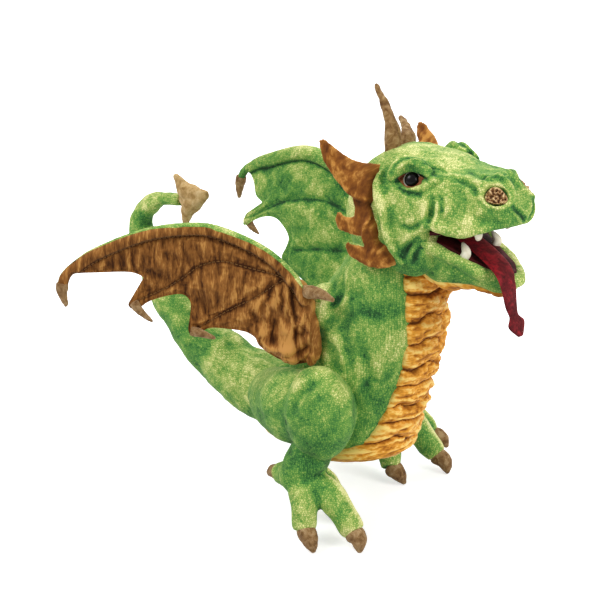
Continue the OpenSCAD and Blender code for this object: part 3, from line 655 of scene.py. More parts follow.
def woven_material(name, dark, middle, light):
    """Coarse cloth, dark between its threads and worn pale in places"""
    material, tree, shader = new_material(name, sheen=0.1, specular=0.2)
    place = object_place(tree)
    weave = place_group(tree, WOVEN_CLOTH, {"Vector": place, "Threads per metre": WOVEN_THREADS})
    worn = ramp(tree, weave["Wear"], [(0.32, colour(dark)), (0.5, colour(middle)), (0.68, colour(light))])
    final = mix(tree, ramp(tree, weave["Height"], [(0.0, 0.55), (0.5, 0.0)]), worn, colour(dark))
    tree.links.new(final, shader.inputs["Base Color"])
    tree.links.new(ramp(tree, weave["Wear"], [(0.3, 0.95), (0.7, 0.75)]), shader.inputs["Roughness"])
    bumped(tree, shader, weave["Height"], WEAVE_DEPTH)
    return material


def plain_material(name, low, high, rough, specular=0.4, size=260.0, depth=0.15):
    """A hard or close-woven finish with slight cloudy wear"""
    material, tree, shader = new_material(name, specular=specular)
    cloud = fleck(tree, object_place(tree), size, detail=4.0)
    shade = ramp(tree, cloud, [(0.35, colour(low)), (0.65, colour(high))])
    tree.links.new(shade, shader.inputs["Base Color"])
    worn = ramp(tree, cloud, [(0.3, rough), (0.7, min(1.0, rough + 0.1))])
    tree.links.new(worn, shader.inputs["Roughness"])
    bumped(tree, shader, cloud, depth)
    return material


GREEN_PLUSH = plush_material(
    "green_plush", ("#1c3c22", "#2f6233", "#4f8d3e", "#7aa648", "#bcc86c", "#eeeca4"))
GOLD_VELOUR = velour_material(
    "gold_velour", ("#663608", "#b4701e", "#e8a236", "#fcd878"), (46.0, 46.0, 120.0), depth=0.6, gloss=0.42)
BROWN_VELOUR = velour_material(
    "brown_velour", ("#3c1d04", "#6f4317", "#935f28", "#c08a45"), (230.0, 45.0, 1.0), from_uv=True)
FRILL_VELOUR = velour_material(
    "frill_velour", ("#3a1c05", "#6a3a10", "#8a5218", "#c88c40"), (90.0, 45.0, 1.0), from_uv=True)
TONGUE_VELOUR = velour_material(
    "tongue_velour", ("#2a0307", "#58080f", "#8c121c"), (160.0, 160.0, 160.0),
    depth=0.4, sheen=0.5, tint="#e06060")
MOUTH_VELOUR = velour_material(
    "mouth_velour", ("#180203", "#330608", "#4a0c0e"), (140.0, 140.0, 140.0),
    depth=0.4, sheen=0.03, tint="#a04040")
NOSTRIL_PILE = velour_material(
    "nostril_pile", ("#1e0f06", "#5c3a1e", "#b08454", "#e8cc9c"), (420.0, 420.0, 420.0), depth=0.8, sheen=0.1)
EYE_CLOTH = velour_material(
    "eye_cloth", ("#4a2412", "#7a4426", "#9a6038"), (300.0, 300.0, 300.0), depth=0.3)
TAN_CLOTH = woven_material("tan_cloth", "#6e4c28", "#ac8654", "#d8b680")
BARB_CLOTH = woven_material("barb_cloth", "#a07c48", "#d6b276", "#f2d8a4")
CLAW_CLOTH = woven_material("claw_cloth", "#6a4a28", "#b08a5c", "#dcbc8c")
TOOTH_CLOTH = plain_material("tooth_cloth", "#e6dcc0", "#f6f0dc", rough=0.6)
EYE_PLASTIC = plain_material("eye_plastic", "#040404", "#090808", rough=0.1, specular=0.12, depth=0.01)
EYE_RING = plain_material("eye_ring", "#8e8a7c", "#b4b0a2", rough=0.3)
WASHER_PLASTIC = plain_material("washer_plastic", "#d4d4d0", "#e6e6e2", rough=0.45)
THREAD = plain_material("thread", "#5a3a14", "#8a5f28", rough=0.8, size=900.0)


def dress(obj, body, material, nodes, fill=None, marks_and_painted_light=0.0, gain=FOLD_PAINTED_SHADE):
    """Give a finished piece its fabric, the nodes it stands for and its body; only whether a fill is given is
    read, and then the piece's form is painted into its colour
    """
    obj.data.materials.clear()
    obj.data.materials.append(material)
    if nodes:
        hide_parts(*nodes)
    if body:
        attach(obj, body)
    # A stuffed piece gets painted light and shade from its form, once
    if fill is not None:
        if PAINTED_SHADE_LAYER not in obj.data.attributes:
            shade_by_form(obj, marks_and_painted_light, gain)


# Trunk and neck: rows of height, back, front and half width
BODY_ROWS = [
    [50, -24, 67, 43.7], [65.5, -44, 73, 51.9], [84.4, -56, 78, 57.2], [106.8, -58, 83, 59],
    [136, -54, 90, 59], [165.2, -42, 98, 57.8], [194.5, -26, 104, 55.5], [222, -14, 105, 53.4],
    [242, 2, 105.5, 52], [262.5, 16, 104, 50], [284, 26, 98, 44]]
OPENING_Z = 50.0
TRUNK_TOP = 222.0
NECK_TOP = 262.5
STUB_TOP = 280.0
RIM_RISE = 14.0
ARM_X = 25.0
ARM_R = 31.0
PANEL_SEAT = 4.0
# Half the angle that the belly panel covers, by height
PANEL_ROWS = [[50, 150], [56, 124], [62, 94], [68, 71], [78, 50], [95, 38], [120, 31], [150, 28],
              [185, 30], [222, 35], [255, 40], [284, 42]]
# The shoulder knob above each wing's root
KNOB = (12.0, 45.0, 214.0)
KNOB_R = (19.0, 17.0, 23.0)


def body_grid(heights, angles, inset):
    """Points on the trunk and neck; angle 0 is the front, and the inset is measured inwards"""
    z = np.asarray(heights, float)[:, None]
    back, front, half = (column[:, None] for column in table(BODY_ROWS, np.asarray(heights, float)).T)
    low = np.clip((TRUNK_TOP - z) / (TRUNK_TOP - OPENING_Z), 0, 1)
    rise = RIM_RISE * (1 + np.cos(angles)) / 2 * low ** 3
    x = (front + back) / 2 + ((front - back) / 2 - inset) * np.cos(angles)
    y = (half - inset) * np.sin(angles)
    return xyz(x, y, z + rise)


def panel_reach(heights):
    return np.radians(table(PANEL_ROWS, np.asarray(heights, float))[:, 0])


def cut_level(obj, name, z):
    """Cut a piece at a height; what is above becomes a piece of its own"""
    upper = obj.copy()
    upper.data = obj.data.copy()
    upper.name = name
    upper.data.name = name
    bpy.context.scene.collection.objects.link(upper)
    plane = to_frame([0, 0, z])
    for piece, above in ((obj, False), (upper, True)):
        edit_mesh(piece, lambda work: bmesh.ops.bisect_plane(
            work, geom=work.verts[:] + work.edges[:] + work.faces[:], plane_co=plane,
            plane_no=(0, 0, 1), clear_inner=above, clear_outer=not above))
    return upper


# Folds at the shoulder and on the flank, as pixels of the photograph, with depth, width and lips
BODY_FOLDS = [
    ([(344, 258), (343, 276), (342, 293), (334, 304), (313, 317)], 2.4, 3.2, 0.5),
    ([(355, 297), (361, 295), (368, 296)], 1.0, 3.5, 0.5),
    ([(322, 338), (332, 352), (337, 370)], 2.0, 5.0, 0.6),
    ([(360, 345), (368, 372), (366, 398)], 2.0, 5.0, 0.6),
    ([(343, 330), (348, 350), (352, 372)], 2.0, 5.0, 0.6)]


def outside_tunnel(points):
    """0 on the wall of the arm tunnel, 1 on the outer skin"""
    away = np.hypot(points[:, 0] - ARM_X, points[:, 1])
    return smooth_step(away, ARM_R + 2, ARM_R + 8)


def bend_neck(obj):
    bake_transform(obj)


def make_body():
    angles = full_turn(64)
    side = np.abs((angles + math.pi) % (2 * math.pi) - math.pi)
    heights = np.linspace(OPENING_Z, STUB_TOP, 40)
    reach = panel_reach(heights)[:, None]
    seat = PANEL_SEAT * (1 - smooth_step(side, reach - 0.03, reach + 0.05))
    outer = body_grid(heights, angles, seat)
    lean = smooth_step(heights, TRUNK_TOP - 4, NECK_TOP)[:, None]
    bore_x = ARM_X + (NOD[0] - ARM_X) * lean + ARM_R * np.cos(angles)
    inner = xyz(bore_x, ARM_R * np.sin(angles), outer[..., 2])
    knobs = [ball((KNOB[0], sign * KNOB[1], KNOB[2]), KNOB_R) for sign in (LEFT, RIGHT)]
    skin = fuse("body_skin", [pipe(outer, inner)] + knobs, voxel=2.4, rounds=8)
    for pixels, depth, width, lips in BODY_FOLDS:
        for line in both_sides(seen_at(skin, pixels)):
            crease(skin, line, depth, width, lips)
    ripple(skin, size=42.0, depth=2.2, seed=5, mask=outside_tunnel)
    ripple(skin, size=15.0, depth=1.0, seed=2, mask=outside_tunnel)
    shade_by_form(skin)
    neck = cut_level(skin, "neck_skin", TRUNK_TOP)
    dress(skin, "torso", GREEN_PLUSH, ["body_skin"], fill=0.8)
    dress(neck, None, GREEN_PLUSH, ["neck_skin"], fill=0.7)
    bend_neck(neck)


# Belly: gathered velour in rows of puckers, from the arm opening up into the throat
PUCKERS = 9.5
PUCKER_DEPTH = 7.5
PANEL_TOP = 274.0
PANEL_T = 6.0
# How fast each kind of unevenness changes across and along the panel, with its seed
PUCKER_DRIFT = (1.3, 7, 3.7)
PUCKER_WANDER = (4.0, 30, 9.1)
CRIMPS = (3, 55, 1.3)
FINE_CRIMPS = (9, 110, 5.3)
RUCHE = (15, 36, 7.9)


def panel_noise(along, across, kind):
    wide, long, seed = kind
    return np.array([[noise.noise(Vector((a * wide, t * long, seed))) for a in across[0]]
                     for t in along[:, 0]])


def make_belly():
    along = np.linspace(0, 1, 220)[:, None]
    across = np.linspace(-1, 1, 70)[None, :]
    heights = OPENING_Z + 1 + along[:, 0] * (PANEL_TOP - OPENING_Z - 1)
    angles = across * (panel_reach(heights)[:, None] + 0.05)
    kinds = (PUCKER_DRIFT, PUCKER_WANDER, CRIMPS, FINE_CRIMPS, RUCHE)
    drift, wander, crimps, fine, ruche = (panel_noise(along, across, kind) for kind in kinds)
    wave = np.abs(np.sin(math.pi * (PUCKERS * along + 0.5 * drift + 0.09 * wander))) ** 0.6
    edge = 1 - np.abs(across) ** 6
    lift = PUCKER_DEPTH * (wave - 0.45) * (0.35 + 0.65 * edge) + 2.2 * crimps + 0.6 * fine + 0.7 * ruche
    tuck = 5.0 * np.abs(across) ** 14
    outer = body_grid(heights, angles, -lift + tuck - 0.5)
    inner = body_grid(heights, angles, PANEL_T)
    belly = closed_sheet("belly_panel", outer, inner, turned=True)
    shade_by_form(belly, gain=GATHER_PAINTED_SHADE)
    neck_front = cut_level(belly, "neck_panel", TRUNK_TOP)
    dress(belly, "torso", GOLD_VELOUR, ["belly_panel"], fill=0.6)
    dress(neck_front, None, GOLD_VELOUR, ["neck_panel"], fill=0.6)
    bend_neck(neck_front)


SEAT = (-50.0, 0.0, 68.0)
SEAT_R = (42.0, 45.0, 18.0)


def make_seat():
    """The gold underside carries on behind the arm opening, under the rump"""
    seat = fuse("seat_panel", [ball(SEAT, SEAT_R)], voxel=2.0, rounds=2)
    ripple(seat, size=16.0, depth=3.0, seed=91)
    ripple(seat, size=6.0, depth=1.2, seed=92)
    dress(seat, "torso", GOLD_VELOUR, (), fill=0.5, gain=GATHER_PAINTED_SHADE)


# Legs: the ankle, each toe's end with its claw's tip, and the heel's end with its claw's tip
FEET = {
    RIGHT: {"ankle": (17, -86, 62),
            "toes": [((77, -82, 17), (88, -88, 1.2)), ((39, -108, 17), (56, -115, 1.2)),
                     ((35, -54, 17), (44, -44, 1.2))],
            "heel": ((-19, -77, 46), (-37, -72, 37))},
    LEFT: {"ankle": (-17, 86, 62),
           "toes": [((38, 106, 17), (54, 104, 1.2)), ((20, 51, 17), (34, 56, 1.2)),
                    ((22, 116, 32), (40, 122, 20))],
           "heel": ((-54, 76, 46), (-72, 71, 37))}}
SHANK_R = 20.0
ANKLE_R = 21.0
TOE_R = [[0, 16.5], [0.35, 14.5], [0.7, 13], [0.9, 12], [1, 10.5]]
HEEL_R = (17.0, 10.0)
TOE_SEAM_WAY = (0.35, 0.35, 1.0)
SOLE_Z = 0.4
CLAW_R = 9.4
HEEL_CLAW_R = 7.6
CLAW_ROWS = [[0, 0.9], [0.25, 1.0], [0.7, 0.7], [1, 0.18]]
# Haunches: place along X, half length, and share of the full width
HAUNCHES = {RIGHT: (32.0, 33.0, 1.0), LEFT: (10.0, 33.0, 0.9)}
HAUNCH_Z = 122.0
HAUNCH_RZ = 45.0
# Rows from the body outwards: place along Y, and share of the full size
HAUNCH_ROWS = [[36, 0.60], [56, 0.76], [66, 0.90], [76, 0.99], [84, 1.0], [94, 0.88], [103, 0.6],
               [107.5, 0.22]]
HAUNCH_CREASE = [(48, -86, 167), (34, -100, 155), (28, -104, 145), (24, -106, 130)]


def make_leg(side):
    name = SIDE_NAMES[side]
    body = name + "_leg"
    place, half, wide = HAUNCHES[side]
    turn = full_turn(40)
    out = np.linspace(HAUNCH_ROWS[0][0], HAUNCH_ROWS[-1][0], 24)
    share = table(HAUNCH_ROWS, out)
    rings = xyz(place + half * share * np.sin(turn), side * wide * out[:, None],
                HAUNCH_Z + HAUNCH_RZ * share * np.cos(turn))
    # A roll from the haunch back to the tail's root: place and radius
    rump = spline([(place - 8, side * 66, 118, 36), (place / 2 - 24, side * 61, 114, 37),
                   (-44, side * 45, 106, 31), (-84, side * 20, 95, 20)], 20)
    thigh = fuse(name + "_thigh", [loft(rings), tube(rump[:, :3], rump[:, 3])], voxel=3.0, rounds=6)
    gather = np.array(HAUNCH_CREASE) * [1, -side * wide, 1] + [place - HAUNCHES[RIGHT][0], 0, 0]
    crease(thigh, gather, depth=4.0, width=4.5, lips=0.5)
    ripple(thigh, size=30.0, depth=3.0, seed=4 + side)
    subdivide(thigh)
    ripple(thigh, size=11.0, depth=0.8, seed=6 + side)
    dress(thigh, None, GREEN_PLUSH, [name + "_thigh"], fill=0.8)
    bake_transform(thigh)
    make_foot(side, name, body)


def make_foot(side, name, body):
    ankle = np.array(FEET[side]["ankle"], float)
    place = HAUNCHES[side][0]
    shank_top = np.array([place - 4, ankle[1] - side * 8, HAUNCH_Z - 30])
    shank = tube(spline([shank_top, (shank_top + ankle) / 2, ankle, ankle - [0, 0, 10]], 12),
                 np.linspace(SHANK_R, ANKLE_R * 0.95, 12))
    shapes = [shank, ball(ankle - [0, 0, 4], (ANKLE_R, ANKLE_R, ANKLE_R))]
    claws = []
    seams = []
    widths = widths_along(TOE_R, 16)
    for end, tip in FEET[side]["toes"]:
        end, tip = np.array(end, float), np.array(tip, float)
        forward = unit((end - ankle) * [1, 1, 0])
        across = np.cross(forward, (0, 0, 1))
        line = spline([ankle - [0, 0, 6], (ankle + end) / 2 + [0, 0, 5] + 3 * forward, end], 16)
        shapes.append(tube(line, widths, across))
        claws.append(claw_shape(end - 2 * forward, tip, CLAW_R, across, bow=CLAW_R * 0.3 * forward))
        seams.append((line + widths[:, None] * unit(TOE_SEAM_WAY))[3:])
    heel, heel_tip = (np.array(p, float) for p in FEET[side]["heel"])
    heel_side = unit(np.cross(heel - ankle, (0, 0, 1)))
    heel_line = spline([ankle, (ankle + heel) / 2 + [0, 0, -3], heel], 8)
    shapes.append(tube(heel_line, np.linspace(*HEEL_R, 8), heel_side))
    claws.append(claw_shape(heel, heel_tip, HEEL_CLAW_R, heel_side))
    foot = fuse(name + "_foot", shapes, voxel=1.9, rounds=5)
    points = points_of(foot)
    points[:, 2] = np.maximum(points[:, 2], SOLE_Z)
    set_points(foot, points)
    for seam in seams:
        ridge(foot, seam, height=2.2, width=3.2)
    ripple(foot, size=14.0, depth=1.6, seed=12 + side, mask=lambda p: smooth_step(p[:, 2], 2, 10))
    # A painted highlight along each toe's ridge, and the rest of the foot a little darker
    marks_and_painted_light = sum(0.42 * hump(line_distance(points_of(foot), seam)[0], 0, 4.0) for seam in seams) - 0.08
    dress(foot, body, GREEN_PLUSH, [name + "_foot"], fill=0.8, marks_and_painted_light=marks_and_painted_light)
    nails = fuse(name + "_foot_claws", claws, voxel=1.0, rounds=2)
    ripple(nails, size=5.0, depth=0.5, seed=14)
    dress(nails, body, CLAW_CLOTH, [name + "_foot_claws"], fill=0.9)


def claw_shape(base, tip, radius, side, bow=0.0):
    """A stuffed claw that bows out and curves down to a point"""
    middle = (base + tip) / 2 + [0, 0, radius * 0.35] + bow
    line = spline([base, middle, tip], 10)
    widths = radius * widths_along(CLAW_ROWS, 10)
    return tube(line, widths, side, sides=16)


# Tail: rows of place along X, height and radius
TAIL_ROWS = [
    [-30, 92, 40], [-59, 87, 38.5], [-101.9, 87, 35], [-150.7, 100, 30], [-197.3, 124, 25], [-241, 161, 20],
    [-271, 201.7, 15], [-278, 235, 11.8], [-254, 259, 9.5], [-216.4, 266, 7.0]]
TAIL_BEND = (-48.0, -92.0)
# Barb: its point and its two hooks, from the tail's end, in shares of its length
BARB_L = 42.0
BARB_APEX = (0.86, 0, 0.28)
BARB_HOOKS = [(-0.22, 0, 0.62), (0.10, 0, -0.62)]
BARB_ROWS = [[0, 3.5], [0.4, 9.5], [0.75, 6], [1, 2.4]]


def make_tail():
    rows = spline(TAIL_ROWS, 60)
    line = xyz(rows[:, 0], 0, rows[:, 1])
    tail = fuse("tail", [tube(line, rows[:, 2], sides=36)], voxel=2.4, rounds=6)
    ripple(tail, size=26.0, depth=3.0, seed=21)
    ripple(tail, size=10.0, depth=1.0, seed=22)
    far = smooth_step(points_of(tail)[:, 2], 150, 240)
    dress(tail, None, GREEN_PLUSH, ["tail"], fill=0.8, marks_and_painted_light=-0.16 * far)
    start, end = (to_frame([x, 0, 0]) for x in TAIL_BEND)
    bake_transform(tail)
    tip = line[-1]
    apex = tip + BARB_L * np.array(BARB_APEX)
    heart = tip + [2, 0, 0]
    widths = widths_along(BARB_ROWS, 12)
    shapes = []
    for hook in BARB_HOOKS:
        end = tip + BARB_L * np.array(hook)
        bent = (apex + end) / 2 + (heart - (apex + end) / 2) * 0.45
        shapes.append(tube(spline([apex, bent, end], 12), widths))
    shapes.append(ball(heart + [8, 0, 1], (13, 6, 9)))
    barb = fuse("tail_barb", shapes, voxel=1.3, rounds=5)
    ripple(barb, size=7.0, depth=0.8, seed=23)
    dress(barb, "tail", BARB_CLOTH, ["tail_barb"], fill=0.9)


# Head: rows of place along X, top, half width, height of the widest place, and underside
HEAD_ROWS = [
    [17, 318, 14, 296, 276], [24, 336, 30, 300, 266], [34, 349, 41, 304, 260], [48, 360, 48, 306, 257],
    [64, 367, 51, 308, 256], [80, 370, 52, 310, 256], [96, 369, 51, 312, 257], [110, 367, 49, 314, 262],
    [122, 365, 46, 318, 274]]
SNOUT_ROWS = [
    [92, 367, 46, 326, 298], [112, 366, 46, 322, 302], [128, 362.5, 43.5, 321, 304],
    [142, 359.5, 41, 322, 307], [154, 358.5, 38.5, 325, 310], [166, 358, 36, 328, 312],
    [177, 353.5, 32.5, 329, 313], [186, 344.5, 26.5, 328, 314], [192, 336, 18.5, 326, 316],
    [195.5, 329, 8, 324, 320]]
# Stuffed places on each side of the head, with their radii: snout, jowl, cheek bone and cheek
HEAD_BULGES = [((173, 20, 340), (16, 10.5, 12)), ((97, 33, 287), (32, 14, 29)),
               ((134, 31, 328), (20, 12, 16)), ((150, 34, 318), (18, 9, 9))]
HEAD_SQUARE = 0.85
# The jaw's hinge, and how far the mouth's roof and floor tilt from it
HINGE = np.array([112.0, 0.0, 300.5])
ROOF_TILT = math.radians(10)
FLOOR_TILT = math.radians(23)
LIP_LINE = [(116, -46, 313), (128, -45, 313), (142, -42.5, 310.5), (154, -39, 310.5), (166, -34, 314),
            (178, -26, 317.5), (188, -14, 319.5), (191.5, 0, 320)]
LIP_R = [4.0, 5.5, 4.5, 5.5, 4.0]
# Rolls of plush on the face: pixels of the photograph, radii, and how far out they lie
FACE_ROLLS = {
    "brow": ([(391, 181), (396, 173.5), (404.5, 167.5), (416, 166.5), (425, 170.5), (431, 178)],
             [3.0, 5.6, 7.0, 7.2, 5.8, 2.4], 3.2),
    "lower lid": ([(399, 186), (406, 190), (415, 190), (425, 187), (434, 181), (443, 178), (455, 181)],
                  [1.6, 2.4, 2.8, 3.2, 3.2, 2.8, 1.6], 1.0),
    "nostril": ([(479, 197), (482, 184), (493, 177), (505, 179.5), (513, 190), (512, 202), (502, 209),
                 (489, 207), (479, 197)], [2.2, 3.0, 3.4, 3.2, 2.8, 2.2, 1.8, 1.8, 2.2], -0.4),
    "cheek": ([(384, 170), (379, 180), (379, 192), (383, 208), (387, 230), (394, 248), (404, 264)],
              [2.0, 4.2, 5.0, 5.0, 5.0, 4.6, 2.4], 1.2)}
# How the green of the face differs from the rest: paler cheeks, painted shade where the bridge of the snout
# looks up into the light, and painted shadow in the creases
CHEEK_PALE = 0.23
BRIDGE_PAINTED_SHADE = 0.15
FOLD_SHADOW = 0.28
# Creases of the face, as pixels of the photograph, with depth and width
HEAD_FOLDS = [
    ([(392, 172), (397, 163.5), (406, 158), (417, 156.5), (427, 162), (434, 172)], 1.5, 2.0),
    ([(397, 182), (404, 175.5), (413, 173.5), (422, 176), (428, 181)], 2.4, 1.6),
    ([(433, 175), (452, 178), (468, 185), (478, 193)], 2.2, 2.6),
    ([(513, 207), (519, 213), (525, 220)], 2.4, 2.0),
    ([(433, 200), (431, 212), (427, 226)], 3.0, 3.2),
    ([(441, 198), (440, 212), (436, 224)], 1.6, 2.6),
    ([(422, 222), (412, 228), (402, 226)], 1.6, 3.0),
    ([(418, 240), (409, 247), (404, 256)], 2.6, 3.2),
    ([(425, 243), (417, 252), (413, 262)], 2.0, 3.0),
    ([(396, 182), (406, 192), (420, 195)], 1.6, 3.0),
    ([(424, 163), (434, 168), (446, 172)], 1.2, 2.4),
    ([(470, 172), (485, 178), (497, 176)], 1.3, 2.6),
    ([(482, 186), (484, 178), (492, 174), (503, 178)], 1.4, 2.2)]


def head_ring(top, half, wide, low, turn):
    """A ring across the head: wide gives the height of its widest place"""
    s, c = np.sin(turn), np.cos(turn)
    y = half * np.sign(c) * np.abs(c) ** HEAD_SQUARE
    rise = np.where(s > 0, top - wide, wide - low)
    return y, wide + rise * np.sign(s) * np.abs(s) ** 0.95


def head_loft(rows):
    fine = spline(rows, 30)
    turn = full_turn(44)
    rings = []
    for x, top, half, wide, low in fine:
        y, z = head_ring(top, half, wide, low, turn)
        rings.append(xyz(x, y, z))
    return loft(rings)


def face_roll(obj, pixels, radii, out):
    """A stuffed roll that lies on the face, on the right side and mirrored on the left"""
    seats = [place + out * normal for place, normal in (surface_frame(obj, pixel) for pixel in pixels)]
    one = tube(spline(seats, 18), even_widths(radii, 18), (0.05, 0.3, 0.95), sides=16)
    return [one, mirrored(one)]


def dent(obj, place, normal, reach, depth):
    """Press an oval hollow into both sides of the head; reach is its half length and half height"""
    points = points_of(obj)
    for mirror in (1, MIRROR):
        forward, across, out = face_axes(np.array(normal) * mirror)
        gap = points - np.array(place) * mirror
        share = np.hypot(gap @ forward / reach[0], gap @ across / reach[1])
        near = np.abs(gap @ out) < 2 * max(reach)
        points -= np.where(near, depth * (1 - smooth_step(share, 0.72, 1.12)), 0)[:, None] * out
    set_points(obj, points)


def shape_of(obj):
    return points_of(obj), [list(face.vertices) for face in obj.data.polygons]


def face_tones_and_painted_shade(head):
    """Paler cheeks, and painted shade where the bridge of the snout looks up into the light from above"""
    x, _, z = points_of(head).T
    cheek = (1 - smooth_step(x, 150, 190)) * smooth_step(z, 280, 300) * (1 - smooth_step(z, 326, 344))
    painted_bridge_shade = smooth_step(x, 135, 170) * smooth_step(normals_of(head)[:, 2], 0.3, 0.9)
    return CHEEK_PALE * cheek - BRIDGE_PAINTED_SHADE * painted_bridge_shade


def lip_roll(line, radii, placed=np.array):
    """The roll round a lip: a line along the right side, carried on along the left"""
    half = spline(line, 24)
    whole = placed(np.concatenate([half, half[-2::-1] * MIRROR]))
    widths = np.interp(np.linspace(-1, 1, len(whole)), [-1, -0.6, 0, 0.6, 1], radii)
    return tube(whole, widths, (0, 0, 1), sides=16)


def make_head():
    shapes = [head_loft(HEAD_ROWS), head_loft(SNOUT_ROWS), lip_roll(LIP_LINE, LIP_R)]
    for sign in (LEFT, RIGHT):
        shapes += [ball((x, sign * y, z), radii) for (x, y, z), radii in HEAD_BULGES]
    plain = fuse("plain_head", shapes, voxel=2.0, rounds=8)
    rolls = [roll for places in FACE_ROLLS.values() for roll in face_roll(plain, *places)]
    head = fuse("head_skin", [shape_of(plain)] + rolls, voxel=1.3, rounds=2)
    eye_seat = surface_frame(plain, EYE_PX)
    nostril_seat = surface_frame(plain, NOSTRIL_PX)
    bpy.data.objects.remove(plain)
    dent(head, *eye_seat, reach=(12.0, 9.5), depth=3.0)
    dent(head, *nostril_seat, reach=(11.6, 9.4), depth=10.5)
    shadows = []
    for pixels, depth, width in HEAD_FOLDS:
        for line in both_sides(seen_at(head, pixels)):
            crease(head, line, depth, width, lips=0.5)
            shadows.append(hump(line_distance(points_of(head), spline(line, 16))[0], 0, depth + 1.0))
    ripple(head, size=26.0, depth=1.8, seed=31)
    ripple(head, size=9.0, depth=0.7, seed=32)
    dress(head, None, GREEN_PLUSH, ["head_skin", "left_eyelid", "right_eyelid"], fill=0.7,
          marks_and_painted_light=face_tones_and_painted_shade(head) - FOLD_SHADOW * np.max(shadows, axis=0))
    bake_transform(head)
    return head, eye_seat, nostril_seat


def on_floor(points):
    """From the lower jaw's own axes, at the hinge, to the puppet's"""
    return tilted(points, FLOOR_TILT)


def on_roof(points):
    return tilted(points, -ROOF_TILT)


def tilted(points, tilt):
    p = np.asarray(points, float)
    x = p[..., 0] * math.cos(tilt) + p[..., 2] * math.sin(tilt)
    z = p[..., 2] * math.cos(tilt) - p[..., 0] * math.sin(tilt)
    return HINGE + xyz(x, p[..., 1], z)


# Lower jaw: rows of place along its floor, half width, depth, and how far the bottom leans forward
JAW_ROWS = [
    [-14, 27, 38, 8], [-4, 34, 42, 16], [8, 38.5, 40, 24], [22, 37, 31, 22], [38, 32.5, 23.5, 16],
    [54, 27.5, 19.5, 10], [68, 22, 17, 6], [78, 15.5, 14.5, 3], [84, 7.5, 10, 1]]
JAW_TOP = -5.0
JAW_LIP = [(-14, -31, -4), (4, -38, -4), (18, -37.5, -4), (34, -33, -4.5), (50, -28, -4.5), (64, -22, -4.5),
           (75, -14.5, -4), (81.5, -6.5, -4), (83, 0, -4)]
JAW_LIP_R = [5, 5.5, 6.5, 5.5, 5]
# Throat: half the angle that its panel covers, how far it sinks in, and its puckers
THROAT_ANGLE = 42
THROAT_SINK = -2.5
THROAT_PUCKERS = 5
THROAT_DRIFT = (2, 9, 2.2)


def jaw_rings(rows, turn):
    rings = []
    for x, half, depth, lean in rows:
        s, c = np.sin(turn), np.cos(turn)
        down = np.where(s < 0, depth * np.abs(s) ** 0.85, -3 * s)
        rings.append(xyz(x + lean * np.clip(down / depth, 0, 1), half * np.sign(c) * np.abs(c) ** 0.85,
                         JAW_TOP - down))
    return on_floor(rings)


def make_jaw():
    turn = full_turn(40)
    shapes = [loft(jaw_rings(spline(JAW_ROWS, 26), turn)), lip_roll(JAW_LIP, JAW_LIP_R, on_floor)]
    jaw = fuse("jaw_skin", shapes, voxel=1.5, rounds=6)
    ripple(jaw, size=20.0, depth=1.6, seed=41)
    ripple(jaw, size=8.0, depth=0.6, seed=42)
    dress(jaw, None, GREEN_PLUSH, ["jaw_skin"], fill=0.7)
    bend_jaw(jaw)
    make_throat()


def make_throat():
    """A gathered panel that follows the underside of the jaw"""
    rows = spline(JAW_ROWS, 120)[6:106]
    angle = np.radians(np.linspace(-90 - THROAT_ANGLE, -90 + THROAT_ANGLE, 34))
    along = np.linspace(0, 1, len(rows))[:, None]
    across = np.linspace(-1, 1, len(angle))[None, :]
    drift = panel_noise(along, across, THROAT_DRIFT)
    lift = 2.2 * np.abs(np.sin(math.pi * (THROAT_PUCKERS * along + 0.4 * drift))) ** 0.7 + 0.8
    skin = jaw_rings(rows, angle)
    middle = on_floor(xyz(rows[:, 0], 0, JAW_TOP))
    down = unit(skin - middle[:, None])
    outer, inner = (skin + grow[..., None] * down
                    for grow in (lift * (1 - np.abs(across) ** 8) + 0.2, THROAT_SINK + 0 * lift))
    throat = closed_sheet("throat_panel", outer, inner)
    dress(throat, None, GOLD_VELOUR, ["throat_panel"], fill=0.5)
    bend_jaw(throat)


def bend_jaw(obj):
    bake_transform(obj)


# Mouth: lengths from the hinge, and half widths at the back and front
ROOF = (76, 43, 27)
FLOOR = (82, 38.5, 17)
MOUTH_START = 4.0
ROOF_ARCH = 2.0
FLOOR_DISH = 1.5
# The cloth fold at the corner of the mouth: its reach from the hinge, half width and depth
FOLD_REACH = 14.0
FOLD_HALF = 43
FOLD_DEPTH = 16


def mouth_grid(length, back_w, front_w):
    """A flat grid over the mouth's outline: along X from the hinge, across Y"""
    x = MOUTH_START + (length - MOUTH_START) * np.sin(np.linspace(0, math.pi / 2, 30))
    body = back_w + (front_w - back_w) * np.clip(x / (length - front_w), 0, 1)
    round_x = np.clip((x - (length - front_w)) / front_w, 0, 1)
    half = body * np.sqrt(np.maximum(1 - round_x ** 2, 0.0004))
    across = np.linspace(-1, 1, 25)
    return xyz(x[:, None], half[:, None] * across, 0)


def raised(grid, height):
    lifted = grid.copy()
    lifted[..., 2] += height
    return lifted


def make_mouth():
    roof = mouth_grid(*ROOF)
    arch = ROOF_ARCH * (1 - (roof[..., 1] / 44) ** 2) * np.clip(roof[..., 0] / 40, 0, 1)
    under, top = on_roof(raised(roof, arch - 1.0)), on_roof(raised(roof, 3.0))
    upper = closed_sheet("upper_mouth_lining", under, top)
    dress(upper, "head", MOUTH_VELOUR, ["upper_mouth_lining", "upper_mouth_board"], fill=0.3)
    floor = mouth_grid(*FLOOR)
    dish = FLOOR_DISH * (floor[..., 1] / 40) ** 2
    top, under = on_floor(raised(floor, dish + 0.4)), on_floor(raised(floor, -4.0))
    lower = closed_sheet("lower_mouth_lining", top, under)
    dress(lower, None, MOUTH_VELOUR, ["lower_mouth_lining", "lower_mouth_board"], fill=0.3)
    bend_jaw(lower)
    make_mouth_fold()


